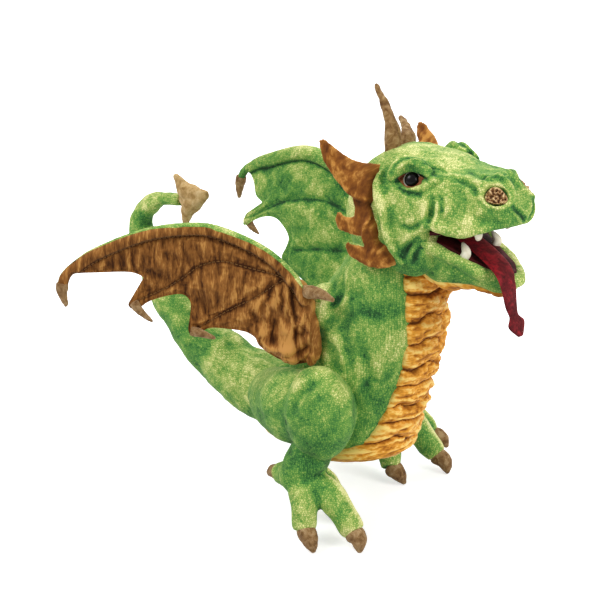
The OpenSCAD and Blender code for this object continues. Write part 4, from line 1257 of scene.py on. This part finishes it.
def make_mouth_fold():
    across = np.linspace(-1, 1, 21)
    deep = FOLD_DEPTH - 12 * across ** 2
    fold = []
    for angle, bend in zip(np.radians(np.linspace(12, -25, 12)), np.linspace(0, math.pi, 12)):
        x = FOLD_REACH * math.cos(angle) - deep * math.sin(bend) - 4
        z = FOLD_REACH * math.sin(angle) + 2
        fold.append(xyz(HINGE[0] + x, FOLD_HALF * across, HINGE[2] + z))
    fold = np.array(fold)
    back = closed_sheet("mouth_fold", fold, fold - [3.0, 0, 0])
    dress(back, "head", MOUTH_VELOUR, (), fill=0.2)


# Fangs: place along the mouth, half their distance apart, length, lean back and thickness
FANGS = {"upper_fangs": (50.0, 24.0, 8.5, 2.0, 0.8), "lower_fangs": (40.0, 24.5, 9.5, 8.0, 0.98)}
FANG_ROWS = [[0, 5.4], [0.35, 5.6], [0.7, 4.2], [0.92, 2.0], [1, 0.9]]


def make_fangs():
    """A pair of broad stuffed teeth hangs from the mouth's roof, and a pair stands on its floor"""
    pairs = (("upper_fangs", "head", on_roof, -1), ("lower_fangs", "jaw", on_floor, 1))
    for name, body, placed, way in pairs:
        place, half, length, lean, thick = FANGS[name]
        widths = thick * widths_along(FANG_ROWS, 14)
        shapes = []
        for sign in (LEFT, RIGHT):
            base = np.array([place, sign * half, 0.0])
            tip = base + [-lean, -sign * 1.5, length * way]
            line = spline([base - [0, 0, 4 * way], base + [0.5, 0, 4 * way], tip], 14)
            shapes.append(tube(placed(line), widths, sides=16, flat=0.75))
        fangs = fuse(name, shapes, voxel=0.9, rounds=4)
        dress(fangs, body, TOOTH_CLOTH, [name], fill=0.9)


# Tongue: a line from its root over the lip, and rows of place along it and half width
TONGUE_LINE = [(14, 0, 3.5), (38, -3, 4.5), (60, -9, 5.5), (77, -16, 5), (88, -19, -3), (97, -18, -17),
               (106, -16, -28), (115, -14, -38)]
TONGUE_ROWS = [[0, 14.5], [0.35, 14.0], [0.5, 12.4], [0.70, 9.2], [0.79, 6.8], [0.83, 9.5], [0.87, 13.0],
               [0.93, 10.0], [1.0, 3.0]]
TONGUE_CROWN = 1.9
TONGUE_GROOVE = 1.0


def make_tongue():
    count = 90
    line = spline(TONGUE_LINE, count)
    way = unit(np.gradient(line, axis=0))
    up = np.cross((0, 1, 0), way)
    half = widths_along(TONGUE_ROWS, count)
    across = np.linspace(-1, 1, 17)
    ahead = smooth_step(np.linspace(0, 1, count), 0.2, 0.6)[:, None]
    groove = TONGUE_GROOVE * hump(across, 0, 0.18)[None, :] * ahead
    crown = TONGUE_CROWN * np.sqrt(np.maximum(1 - across ** 2, 0))[None, :]
    flat = line[:, None] + half[:, None, None] * across[None, :, None] * np.array([0, 1, 0])
    top = flat + (crown - groove)[..., None] * up[:, None]
    under = flat - crown[..., None] * up[:, None]
    tongue = closed_sheet("tongue", on_floor(top), on_floor(under))
    subdivide(tongue)
    dress(tongue, "tongue", TONGUE_VELOUR, ["tongue"], fill=0.5)


# Eyes and nostrils sit on the head's own surface
EYE_PX = (411, 178.5)
EYE_R = 6.7
EYE_DOME = 5.0
EYE_SINK = 3.4
EYE_PROUD = 0.8
RING_R = 0.5
# Half length of the almond patch, and its half height above and below the eye
PATCH_L = 13.5
PATCH_H = (6.0, 8.4)
PATCH_PROUD = 0.9
PATCH_SINK = 1.5
EYE_SHANK = (3.0, -6)
NOSTRIL_PX = (496, 193)
NOSTRIL_R = (9.4, 7.6)
NOSTRIL_DEPTH = 8.2
NOSTRIL_BASE = 9.5
TUFT_SIZE = 2.4
TUFT_H = 3.0


def surface_frame(obj, pixel):
    """The place that a pixel shows on an object, with the surface's normal there"""
    tree = surface_tree(obj)
    place = seen_at(obj, [pixel])[0]
    normals = [np.array(hit[1]) for hit in tree.find_nearest_range(Vector(to_frame(place)), 9 * MM)]
    return place, unit(np.mean(normals, axis=0))


def face_axes(normal):
    """Directions on the face for a normal: as far forward as it goes, across and out"""
    forward = unit(np.array([1.0, 0, 0.12]) - normal * (normal @ [1.0, 0, 0.12]))
    return forward, np.cross(normal, forward), normal


def facing(points, place, normal):
    """Turn a shape that looks along Z to a normal, with its X as far forward as it goes"""
    return place + np.asarray(points, float) @ np.array(face_axes(normal))


def turned_shape(profile):
    """Rings turned about Z from rows of radius and height"""
    turn = full_turn(40)
    return [xyz(r * np.cos(turn), r * np.sin(turn), z) for r, z in profile]


def make_eyes(head, place, normal):
    place = place - EYE_SINK * normal
    tilt = unit(normal + [0.15, 0, -0.05])
    dome = [(EYE_R * math.cos(a), 0.3 + EYE_DOME * math.sin(a))
            for a in np.linspace(0, math.pi / 2 - 0.04, 14)]
    eye_rings = facing(turned_shape([EYE_SHANK, (EYE_R, -1.0)] + dome), place + EYE_PROUD * normal, tilt)
    rim = [(EYE_R + 0.4 + RING_R * math.cos(a), 0.7 + RING_R * math.sin(a))
           for a in np.linspace(0, 2 * math.pi, 9)]
    rim_rings = facing(turned_shape(rim), place + EYE_PROUD * normal, tilt)
    rim_faces = quads(*rim_rings.shape[:2], ring=True)
    across = np.linspace(-1, 1, 33)
    long = np.linspace(-PATCH_L, PATCH_L, 41)
    half = 1 - (np.abs(long) / (PATCH_L + 0.4)) ** 1.7
    rise = np.where(across > 0, *PATCH_H) * across
    grid = xyz(long[:, None], half[:, None] * rise, 0)
    seat = rest_on(head, facing(grid, place, tilt), tilt)
    for sign in (RIGHT, LEFT):
        side = SIDE_NAMES[sign]
        mirror = np.array([1, -sign, 1])
        eye = mesh_object(side + "_eye", *loft(eye_rings * mirror))
        outward(eye)
        dress(eye, "head", EYE_PLASTIC, [side + "_eye"])
        ring = mesh_object(side + "_eye_ring", (rim_rings * mirror).reshape(-1, 3), rim_faces)
        outward(ring)
        dress(ring, "head", EYE_RING, ())
        front, back = (seat + PATCH_PROUD * tilt) * mirror, (seat - PATCH_SINK * tilt) * mirror
        patch = closed_sheet(side + "_eye_patch", front, back)
        dress(patch, "head", EYE_CLOTH, [side + "_eye_patch"], fill=0.2)


OVERHANG = 3.5


def rest_on(obj, points, normal):
    """Drop points along a normal onto an object, except where it overhangs them"""
    tree = surface_tree(obj)
    flat = points.reshape(-1, 3).copy()
    for k, p in enumerate(flat):
        hit = tree.ray_cast(Vector(to_frame(p + normal * 12)), Vector(-normal), 26 * MM)[0]
        if hit is not None and (from_frame(hit) - p) @ normal < OVERHANG:
            flat[k] = from_frame(hit)
    return flat.reshape(points.shape)


def make_nostrils(place, normal):
    """A pocket of tufted pile, with three soft corners"""
    turn = full_turn(96)
    radii = np.linspace(0.04, 1, 30)[:, None]
    corners = 1 + 0.11 * np.cos(3 * turn + 0.6)
    x = NOSTRIL_R[0] * radii * corners * np.cos(turn)
    y = NOSTRIL_R[1] * radii * corners * np.sin(turn)
    tufts = np.array([[noise.noise(Vector((a / TUFT_SIZE, b / TUFT_SIZE, 6.1))) for a, b in zip(*ring)]
                      for ring in zip(x, y)])
    bowl = -NOSTRIL_DEPTH + 2.6 * radii ** 2 - 1.5 * radii ** 12
    z = bowl + TUFT_H * tufts * (1 - radii ** 8)
    rings = facing(xyz(x, y, z), place, normal)
    base = facing(xyz(x[-1:], y[-1:], -NOSTRIL_BASE), place, normal)
    for sign in (RIGHT, LEFT):
        side = SIDE_NAMES[sign]
        pocket = mesh_object(side + "_nostril", *loft(np.concatenate([rings, base]) * [1, -sign, 1]))
        outward(pocket)
        # Painted shade between the tufts and painted light on them, from their form
        dress(pocket, "head", NOSTRIL_PILE, [side + "_nostril"], fill=0.4, gain=TUFT_PAINTED_SHADE)


# Horns and frills
HORN_BASE = np.array([60.0, 10.2, 363.0])
HORN_LEANS = {RIGHT: (-0.45, -0.12, 0.90), LEFT: (-0.50, 0.50, 0.30)}
HORN_L = 61.0
HORN_ROWS = [[0, 9.0], [0.2, 8.6], [0.5, 5.6], [0.8, 3.6], [0.93, 3.0], [1, 1.4]]


def make_horn(side):
    name = SIDE_NAMES[side] + "_horn"
    base = HORN_BASE
    lean = HORN_L * np.array(HORN_LEANS[side])
    line = spline([base - [0, 0, 8], base + lean * [0.12, 0.2, 0.36], base + lean * [0.5, 0.6, 0.7],
                   base + lean], 40)
    widths = widths_along(HORN_ROWS, 40)
    horn = fuse(name, [tube(line * [1, side, 1], widths, flat=0.8, sides=20)], voxel=1.1, rounds=3)
    ripple(horn, size=4.5, depth=1.3, seed=51 + side, stretch=(1, 1, 0.25))
    dress(horn, "head", TAN_CLOTH, [name], fill=0.9)


# Frills: each lobe's line with its half widths, and the band that joins the lobes
FRILL_LOBES = [
    ([(66, 38, 337), (57, 55, 344), (45, 66, 355), (35, 71, 368), (28, 73, 379)], [19, 17, 11.5, 7.5, 2.5]),
    ([(73, 40, 309), (65, 56, 306), (56, 62, 303), (46, 65.5, 306), (41, 66, 314)], [16, 12, 8.5, 7, 2.5]),
    ([(88, 38, 282), (77, 53, 277), (66, 59, 277), (55, 62, 281), (49, 63, 286)], [13, 11.5, 8.5, 6, 2.5])]
FRILL_BAND = [(55, 54, 344), (60, 56, 325), (64, 57, 307), (69, 55, 292), (77, 52, 277)]
FRILL_BAND_R = [9, 8, 8.5, 8, 9]
FRILL_DOWN = {RIGHT: (0.32, 0.0, -0.95), LEFT: (0.80, 0.25, -0.55)}
FRILL_DROOP = {RIGHT: 0.0, LEFT: 9.0}


def make_frill(side):
    name = SIDE_NAMES[side] + "_frill"
    shapes = []
    paths = []
    for line, widths in FRILL_LOBES + [(FRILL_BAND, FRILL_BAND_R)]:
        path = spline(np.array(line) * [1, side, 1], 20)
        path[:, 2] -= FRILL_DROOP[side] * np.linspace(0, 1, 20)
        paths.append(path)
        shapes.append(tube(path, even_widths(widths, 20), FRILL_DOWN[side], sides=28, flat=0.26))
    frill = fuse(name, shapes, voxel=1.4, rounds=4)
    for path in paths[:-1]:
        crease(frill, path, depth=1.2, width=2.0, lips=0.6)
    ripple(frill, size=9.0, depth=1.4, seed=61 + side)
    set_side_uv(frill)
    dress(frill, "head", FRILL_VELOUR, [name], fill=0.4)


def set_side_uv(obj):
    """UVs in metres, straight through the piece from the side"""
    set_uv(obj, points_of(obj)[:, [0, 2]] * MM)


def set_uv(obj, uv):
    """Write UVs that are given for each point"""
    layer = obj.data.uv_layers.new(name="UVMap")
    corner = np.empty(len(obj.data.loops), dtype=np.int32)
    obj.data.loops.foreach_get("vertex_index", corner)
    layer.data.foreach_set("uv", np.asarray(uv)[corner].ravel())


# Wings: a flat pattern of two cloths, U outwards from the root seam and V up, in shares of the span
WING_SPAN = 234.0
WING_PLACE = {RIGHT: (10.0, -61.0, 186.74), LEFT: (10.0, 61.0, 186.74)}
WING_SPREAD = {RIGHT: math.radians(37), LEFT: math.radians(6)}
WING_LIFT = {RIGHT: 0.0, LEFT: math.radians(10)}
WING_ROOT_GAP = 3.0
WING_LEAD = [(0, 0.18), (0.06, 0.27), (0.17, 0.37), (0.33, 0.445), (0.45, 0.465), (0.64, 0.44), (0.84, 0.36),
             (0.93, 0.300), (0.982, 0.250), (1.0, 0.205)]
# Rows from the root to the tip: place on the leading edge, then the trailing edge's U and V
WING_ROWS = [
    [0.000, 0.000, -0.105], [0.030, 0.060, -0.115], [0.075, 0.142, -0.090], [0.120, 0.200, -0.045],
    [0.150, 0.220, -0.007], [0.190, 0.260, 0.013], [0.250, 0.325, 0.024], [0.310, 0.400, 0.026],
    [0.335, 0.445, 0.000], [0.345, 0.470, -0.008], [0.355, 0.487, 0.016], [0.375, 0.478, 0.080],
    [0.400, 0.476, 0.135], [0.430, 0.507, 0.165], [0.465, 0.570, 0.158], [0.495, 0.640, 0.134],
    [0.510, 0.692, 0.100], [0.520, 0.722, 0.124], [0.545, 0.677, 0.182], [0.585, 0.655, 0.225],
    [0.650, 0.676, 0.248], [0.720, 0.725, 0.259], [0.850, 0.840, 0.256], [0.930, 0.915, 0.252],
    [0.965, 0.938, 0.243], [0.985, 0.952, 0.218], [0.998, 0.958, 0.192]]
WING_WRIST = (0.10, 0.25)
# Sewn lines from the wrist to the two points
FINGER_SEAMS = [[(0.103, 0.243), (0.216, 0.162), (0.338, 0.095), (0.45, 0.025)],
                [(0.103, 0.25), (0.252, 0.287), (0.349, 0.308), (0.44, 0.284), (0.501, 0.236), (0.578, 0.187),
                 (0.68, 0.14)]]
# The stuffed arm's width in shares of the span, and how thick it and the cloth between the seams are
ARM_SEAM = 0.05
ARM_T = 6.4
CLOTH_T = 2.8
LEAST_T = 0.8
# Columns and rows of the pattern's grid; the back cloth comes round the leading edge by the rim's rows
WING_GRID = (190, 80)
RIM_ROWS = 5
# Claws: base, middle and tip on the pattern, with how far they stand out of it, and the radius
WING_CLAWS = [((0.979, 0.212, 0), (0.981, 0.17, 0), (0.967, 0.112, 0), 5.8),
              ((0.70, 0.135, 0), (0.672, 0.095, 0), (0.625, 0.053, 0), 4.4),
              ((0.475, 0.020, 0), (0.43, 0.008, 0), (0.375, -0.012, 0), 4.6),
              ((0.03, 0.195, 2), (-0.035, 0.205, 14), (-0.095, 0.195, 26), 6.2)]
WING_CLAW_ROWS = [[0, 1.0], [0.3, 1.0], [0.75, 0.62], [1, 0.28]]
# Gathered rolls of the lining near the root: places on the pattern, and the roll's width
LINING_ROLLS = [([(0.053, 0.244), (0.039, 0.193), (0.037, 0.126), (0.024, 0.070), (-0.004, 0.041)], 5.5),
                ([(0.085, 0.243), (0.089, 0.184), (0.085, 0.116), (0.061, 0.065), (0.021, 0.028)], 4.5),
                ([(0.125, 0.215), (0.135, 0.150), (0.130, 0.085), (0.105, 0.030)], 3.5),
                ([(-0.012, 0.030), (0.033, -0.018), (0.090, -0.050), (0.155, -0.050)], 6.5),
                ([(0.000, -0.050), (0.050, -0.085), (0.115, -0.075), (0.165, -0.040)], 5.0)]
ROOT_ROLL = [(0.045, 0.240), (0.020, 0.190), (0.004, 0.120), (-0.006, 0.045), (-0.014, -0.036),
             (-0.012, -0.085), (0.010, -0.100)]
ROOT_ROLL_R = 7.0
ROOT_ROLL_ROWS = [[0, 0.5], [0.3, 0.9], [0.7, 1.0], [1, 0.6]]
# How far the trailing edge near the root hangs down
ROOT_DROOP = {RIGHT: 0.0, LEFT: 0.20}
# The far wing is drawn out and down below its arm, by shares of the span, and its arm arches up more
WING_DRAW = {RIGHT: 0.0, LEFT: 1.0}
DRAWN_OUT = [[0.0, 0.0], [0.25, 0.0], [0.45, 0.07], [0.50, 0.11], [0.70, 0.14], [0.84, 0.06], [1.0, 0.0]]
DRAWN_DOWN = 0.10
ARM_ARCH = 0.05


def hung(side, pattern):
    """Places on the flat pattern, moved to where they hang in the wing's pose"""
    share = np.asarray(pattern, float) / WING_SPAN
    u = share[..., 0]
    lead = spline(WING_LEAD, 100)
    drop = np.interp(u, lead[:, 0], lead[:, 1]) - share[..., 1]
    below = smooth_step(drop, 0.0, 0.14)
    out = np.interp(u, *np.array(DRAWN_OUT).T) * below * (1 + 0.55 * smooth_step(drop, 0.14, 0.30))
    up = ARM_ARCH * hump(u, 0.55, 0.25) * (1 - below) - DRAWN_DOWN * hump(u, 0.72, 0.15) * below
    return (share + WING_DRAW[side] * np.stack([out, up], axis=-1)) * WING_SPAN


def in_wing(side, points):
    """From the wing's own axes (along the span, out of the lining, up) to the puppet's"""
    p = np.asarray(points, float)
    lift = WING_LIFT[side]
    x = p[..., 0] * math.cos(lift) - p[..., 2] * math.sin(lift)
    z = p[..., 0] * math.sin(lift) + p[..., 2] * math.cos(lift)
    y = -side * p[..., 1]
    turn = math.pi - side * WING_SPREAD[side]
    forward = x * math.cos(turn) - y * math.sin(turn)
    across = x * math.sin(turn) + y * math.cos(turn)
    return xyz(forward, across, z) + WING_PLACE[side]


def wing_pattern(columns, rows, droop):
    """The flat pattern as a grid, from the root to the tip and from the leading to the trailing edge"""
    lead_line = spline(WING_LEAD, 400)
    fine = spline(WING_ROWS, columns)
    fine[:, 2] -= droop * hump(fine[:, 1], 0.28, 0.18)
    lead_u = np.maximum.accumulate(fine[:, 0])
    lead = np.stack([lead_u, np.interp(lead_u, lead_line[:, 0], lead_line[:, 1])], axis=1)
    share = np.linspace(0, 1, rows)[None, :, None] ** 1.25
    return (lead[:, None] * (1 - share) + fine[:, None, 1:] * share) * WING_SPAN, lead_line * WING_SPAN


def flat_distance(pattern, line):
    size = pattern.shape[0] * pattern.shape[1]
    d, _ = line_distance(pattern.reshape(size, 2), np.asarray(line, float))
    return d.reshape(pattern.shape[:2])


def wing_noise(pattern, long, high, seed):
    return np.array([[noise.noise(Vector((u / long, v / high, seed))) for u, v in line] for line in pattern])


def wing_line(places, count):
    """A smooth line through places on the pattern, from shares of the span"""
    return spline(np.array(places) * WING_SPAN, count)


def round_edge(front, behind):
    """A grid of the back cloth, which starts with the front's first rows, in from the leading edge"""
    return np.concatenate([front[:, RIM_ROWS::-1], behind], axis=1)


def wing_form(side):
    """Over the pattern's grid: where front and back cloth lie, their marks, which are a paler patch low by
    the root and painted shade along the seams, and where they are sewn
    """
    pattern, lead_line = wing_pattern(*WING_GRID, ROOT_DROOP[side])
    u, v = pattern[..., 0] / WING_SPAN, pattern[..., 1] / WING_SPAN
    arm_w = ARM_SEAM * WING_SPAN
    lead_d = flat_distance(pattern, lead_line[::8])
    trail_d = flat_distance(pattern, pattern[::3, -1])
    fingers = np.minimum(*(flat_distance(pattern, wing_line(line, 16)) for line in FINGER_SEAMS))
    seam_d = np.minimum(fingers, np.abs(lead_d - arm_w))
    gap = np.minimum(seam_d, trail_d)

    arm_round = np.sqrt(np.maximum(1 - (2 * np.minimum(lead_d / arm_w, 1) - 1) ** 2, 0))
    tip_thin = 1 - 0.35 * smooth_step(u, 0.5, 1.0)
    plump = 1 - np.exp(-(gap / 5.0) ** 1.4)
    fill = np.where(lead_d < arm_w, ARM_T * arm_round * tip_thin, CLOTH_T * plump)
    fill *= np.clip(trail_d / 3.0, 0, 1) ** 0.5

    calm = np.clip(gap / 4, 0.0, 1)
    crush = wing_noise(pattern, long=7.0, high=34.0, seed=0.3 + side)
    fine = wing_noise(pattern, long=3.6, high=12.0, seed=4.3 + side)
    low_root = (1 - smooth_step(u, 0.16, 0.34)) * (1 - smooth_step(v, 0.12, 0.24))
    sweep = np.arctan2(v - WING_WRIST[1], u - WING_WRIST[0])
    reach = np.hypot(v - WING_WRIST[1], u - WING_WRIST[0])
    folds = np.sin(15.0 * sweep + 2.2 * crush) * low_root * np.clip(reach / 0.3, 0, 1)
    folds *= np.clip(lead_d / 20, 0, 1)
    rolls = [width * hump(flat_distance(pattern, wing_line(places, 16)), 0, 0.9 * width)
             for places, width in LINING_ROLLS]
    front = fill + calm * (1.5 * crush + 0.9 * fine) + 3.4 * folds + np.max(rolls, axis=0)
    behind = -fill - calm * (0.9 * crush + 0.4 * fine) + 2.0 * folds
    front, behind = np.maximum(front, behind + LEAST_T), np.minimum(behind, front - LEAST_T)

    billow = 5.0 * np.sin(u * math.pi * 1.1) * np.clip(lead_d / 60, 0, 1)
    place = hung(side, pattern)
    layers = [xyz(place[..., 0] + WING_ROOT_GAP, depth - billow, place[..., 1]) for depth in (front, behind)]
    # A paler patch low by the root, and painted shade in the seams' grooves
    marks_and_painted_light = 0.12 * low_root - 0.28 * hump(seam_d, 0, 1.1)
    sewn = (np.minimum(gap, pattern[..., 0]) < 2.2) | (lead_d < arm_w)
    seams = [wing_line(line, 60) for line in FINGER_SEAMS]
    arm_rows = np.argmax(lead_d >= arm_w, axis=1)
    seams.append(np.array([pattern[k, arm_rows[k]] for k in range(6, WING_GRID[0] - 24)]))
    return pattern, layers, marks_and_painted_light, sewn, seams


def wing_cloth(name, side, layer, flat, way):
    """One cloth of a wing: a sheet that looks along a direction, with its pattern in metres as UVs"""
    cloth = mesh_object(name, in_wing(side, layer).reshape(-1, 3), quads(*layer.shape[:2]))
    face_along(cloth, way)
    set_uv(cloth, flat.reshape(-1, 2) * MM)
    return cloth


def make_wing(side):
    name = SIDE_NAMES[side] + "_wing"
    pattern, (front, behind), marks_and_painted_light, sewn, seams = wing_form(side)
    out = in_wing(side, [0, 1, 0]) - in_wing(side, [0, 0, 0])

    flat = pattern[:, RIM_ROWS:]
    lining = wing_cloth(name + "_lining", side, front[:, RIM_ROWS:], flat, out)
    swell(lining, sewn[:, RIM_ROWS:].ravel())
    sew(name + "_stitches", name, [on_sheet(lining, flat, line) for line in seams])
    dress(lining, name, BROWN_VELOUR, [name + "_lining", name + "_arm", name + "_fingers"],
          fill=0.4, marks_and_painted_light=marks_and_painted_light[:, RIM_ROWS:].ravel())

    back = wing_cloth(name + "_back", side, round_edge(front, behind), round_edge(pattern, pattern), -out)
    dress(back, name, GREEN_PLUSH, [name + "_back"],
          fill=0.4, marks_and_painted_light=round_edge(marks_and_painted_light, marks_and_painted_light).ravel())
    make_wing_claws(side, name, out)


def make_wing_claws(side, name, out):
    shapes = []
    for base, middle, tip, radius in WING_CLAWS:
        places = np.array([base, middle, tip])
        flat = hung(side, places[:, :2] * WING_SPAN)
        line = xyz(flat[:, 0] + WING_ROOT_GAP, places[:, 2], flat[:, 1])
        line = in_wing(side, spline(line, 14))
        across = unit(np.cross(line[-1] - line[0], out))
        widths = radius * widths_along(WING_CLAW_ROWS, 14)
        shapes.append(tube(line, widths, across, sides=16))
    claws = fuse(name + "_claws", shapes, voxel=1.0, rounds=3)
    ripple(claws, size=4.0, depth=0.5, seed=71)
    dress(claws, name, CLAW_CLOTH, [name + "_claws"], fill=0.9)


STITCH = {"Spacing": 4.2, "Stitch length": 2.8, "Thread radius": 0.45}


def stitch_tree():
    """Geometry nodes: a row of thread stitches along a seam"""
    tree = bpy.data.node_groups.new("stitch_row", "GeometryNodeTree")
    tree.interface.new_socket("Seam", in_out="INPUT", socket_type="NodeSocketGeometry")
    for label in STITCH:
        tree.interface.new_socket(label, in_out="INPUT", socket_type="NodeSocketFloat")
    tree.interface.new_socket("Stitches", in_out="OUTPUT", socket_type="NodeSocketGeometry")
    given = tree.nodes.new("NodeGroupInput")
    seam = tree.nodes.new("GeometryNodeMeshToCurve")
    places = tree.nodes.new("GeometryNodeCurveToPoints")
    places.mode = "LENGTH"
    stitch = tree.nodes.new("GeometryNodeMeshCylinder")
    stitch.inputs["Vertices"].default_value = 6
    row = tree.nodes.new("GeometryNodeInstanceOnPoints")
    real = tree.nodes.new("GeometryNodeRealizeInstances")
    thread = tree.nodes.new("GeometryNodeSetMaterial")
    thread.inputs["Material"].default_value = THREAD
    result = tree.nodes.new("NodeGroupOutput")
    for start, end in ((given.outputs["Seam"], seam.inputs["Mesh"]),
                       (seam.outputs["Curve"], places.inputs["Curve"]),
                       (given.outputs["Spacing"], places.inputs["Length"]),
                       (given.outputs["Stitch length"], stitch.inputs["Depth"]),
                       (given.outputs["Thread radius"], stitch.inputs["Radius"]),
                       (places.outputs["Points"], row.inputs["Points"]),
                       (places.outputs["Rotation"], row.inputs["Rotation"]),
                       (stitch.outputs["Mesh"], row.inputs["Instance"]),
                       (row.outputs["Instances"], real.inputs["Geometry"]),
                       (real.outputs["Geometry"], thread.inputs["Geometry"]),
                       (thread.outputs["Geometry"], result.inputs["Stitches"])):
        tree.links.new(start, end)
    return tree


STITCH_TREE = stitch_tree()


def sew(name, body, lines):
    """Stitches along lines of points, as one plain mesh"""
    points = np.concatenate(lines)
    edges = []
    first = 0
    for line in lines:
        edges += [(first + k, first + k + 1) for k in range(len(line) - 1)]
        first += len(line)
    mesh = bpy.data.meshes.new(name)
    mesh.from_pydata([tuple(p) for p in to_frame(points)], edges, [])
    row = new_object(name, mesh)
    made = row.modifiers.new("stitches", "NODES")
    made.node_group = STITCH_TREE
    for item in STITCH_TREE.interface.items_tree:
        if item.name in STITCH:
            made[item.identifier] = STITCH[item.name] * MM
    apply_modifiers(row)
    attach(row, body)


def on_sheet(cloth, flat, line):
    """Where a line of the flat pattern lies on the sewn cloth"""
    places = flat.reshape(-1, 2)
    near = [int(np.argmin(((places - p) ** 2).sum(axis=1))) for p in line]
    near = [k for n, k in enumerate(near) if n == 0 or k != near[n - 1]]
    path = points_of(cloth)[near] + 0.2 * normals_of(cloth)[near]
    for _ in range(3):
        path[1:-1] = (path[:-2] + 2 * path[1:-1] + path[2:]) / 4
    return path


def make_wing_root(side):
    """A gathered roll of lining between the body and the wing"""
    name = SIDE_NAMES[side]
    line = spline([(u * WING_SPAN + WING_ROOT_GAP, 0.5, v * WING_SPAN) for u, v in ROOT_ROLL], 30)
    widths = ROOT_ROLL_R * widths_along(ROOT_ROLL_ROWS, 30)
    shape = tube(in_wing(side, line), widths, (0.3, 0.2, 0.9), sides=16)
    roll = fuse(name + "_wing_root", [shape], voxel=1.5, rounds=3)
    ripple(roll, size=9.0, depth=1.6, seed=81 + side)
    ripple(roll, size=4.0, depth=0.5, seed=83 + side)
    set_side_uv(roll)
    dress(roll, name + "_wing", BROWN_VELOUR, [name + "_wing_tab"], fill=0.6, marks_and_painted_light=0.05)


def face_along(obj, way):
    """Turn a single sheet's faces to look along a direction"""
    looks = np.empty(3 * len(obj.data.polygons))
    obj.data.polygons.foreach_get("normal", looks)
    if looks.reshape(-1, 3).mean(0) @ np.asarray(way) < 0:
        obj.data.flip_normals()


# Hem of the arm opening: height, thickness, and how many crimps go round it
HEM_H = 14.0
HEM_T = 2.5
HEM_CRIMPS = 34
CRIMP_DEPTH = 0.35


def make_hem():
    turn = full_turn(96)
    low = OPENING_Z + RIM_RISE
    section = [(0.0, 0.0), (HEM_T * 0.5, -1.2), (HEM_T, 0.0), (HEM_T, HEM_H * 0.5), (HEM_T, HEM_H),
               (0.0, HEM_H), (-0.3, HEM_H * 0.5)]
    crimp = CRIMP_DEPTH * np.sin(turn * HEM_CRIMPS)
    rings = [xyz(ARM_X + (ARM_R + r + crimp) * np.cos(turn), (ARM_R + r + crimp) * np.sin(turn), low + z)
             for r, z in section]
    rings.append(rings[0])
    hem = mesh_object("arm_hem", np.array(rings).reshape(-1, 3), quads(len(rings), len(turn), ring=True))
    edit_mesh(hem, lambda work: bmesh.ops.remove_doubles(work, verts=work.verts[:], dist=0.01 * MM))
    outward(hem)
    dress(hem, "torso", GOLD_VELOUR, ["arm_hem"], fill=0.3)


# Floor, light and background, in metres
FLOOR_REACH = 6.0
# The paper's glow by distance from the puppet: weaker near it, so that the shadow shows
FLOOR_GLOW = [(0.32, 0.62), (0.75, 1.0)]
SKY_LIGHT = 0.33
# Lamps: place, size and power
LAMPS = {"key": ((-0.75, -1.15, 1.7), 0.9, 26.0), "side": ((1.6, 0.0, 1.1), 0.8, 17.0),
         "rim": ((-0.5, 1.2, 1.5), 0.9, 16.0)}
LAMP_AIM = (0.05, 0.0, 0.2)


def seen_directly(tree):
    """1 for what the camera sees, also mirrored or through a clear surface, and 0 for light on the puppet"""
    path = add(tree, "LightPath")
    seen = maths(tree, "MAXIMUM", path.outputs["Is Camera Ray"], path.outputs["Is Glossy Ray"])
    return maths(tree, "MAXIMUM", seen, path.outputs["Is Transmission Ray"])


def floor_material():
    material = bpy.data.materials.new("floor_paper")
    material.use_nodes = True
    tree = material.node_tree
    tree.nodes.remove(tree.nodes["Principled BSDF"])
    paper = add(tree, "BsdfDiffuse", {"Color": (0.8, 0.8, 0.8, 1)})
    away = add(tree, "VectorMath", {0: object_place(tree)}, operation="LENGTH").outputs["Value"]
    strength = maths(tree, "MULTIPLY", seen_directly(tree), ramp(tree, away, FLOOR_GLOW))
    glow = add(tree, "Emission", {"Color": (1, 1, 1, 1), "Strength": strength})
    both = add(tree, "AddShader", {0: paper.outputs[0], 1: glow.outputs[0]})
    tree.links.new(both.outputs[0], tree.nodes["Material Output"].inputs["Surface"])
    return material


def make_stage():
    scene = bpy.context.scene
    scene.view_settings.view_transform = "Standard"
    corners = [(x * FLOOR_REACH, y * FLOOR_REACH, 0) for x, y in ((-1, -1), (1, -1), (1, 1), (-1, 1))]
    floor_mesh = bpy.data.meshes.new("floor")
    floor_mesh.from_pydata(corners, [], [(0, 1, 2, 3)])
    floor_mesh.materials.append(floor_material())
    floor = new_object("floor", floor_mesh)

    world = bpy.data.worlds.new("studio")
    scene.world = world
    world.use_nodes = True
    tree = world.node_tree
    background = tree.nodes["Background"]
    background.inputs["Color"].default_value = (1, 1, 1, 1)
    strength = ramp(tree, seen_directly(tree), [(0.0, SKY_LIGHT), (1.0, 1.0)])
    tree.links.new(strength, background.inputs["Strength"])

    for name, (place, size, power) in LAMPS.items():
        data = bpy.data.lights.new(name, "AREA")
        data.size = size
        data.energy = power
        lamp = new_object(name, data)
        lamp.location = place
        lamp.rotation_euler = (Vector(LAMP_AIM) - Vector(place)).to_track_quat("-Z", "Y").to_euler()


make_camera()
make_stage()
make_body()
make_belly()
make_seat()
make_hem()
make_tail()
head, eye_seat, nostril_seat = make_head()
make_jaw()
make_mouth()
make_fangs()
make_tongue()
make_eyes(head, *eye_seat)
make_nostrils(*nostril_seat)
for side in (LEFT, RIGHT):
    make_leg(side)
    make_horn(side)
    make_frill(side)
    make_wing(side)
    make_wing_root(side)
for name in ("left_eye_washer", "right_eye_washer"):
    frame["nodes"][name].data.materials.clear()
    frame["nodes"][name].data.materials.append(WASHER_PLASTIC)
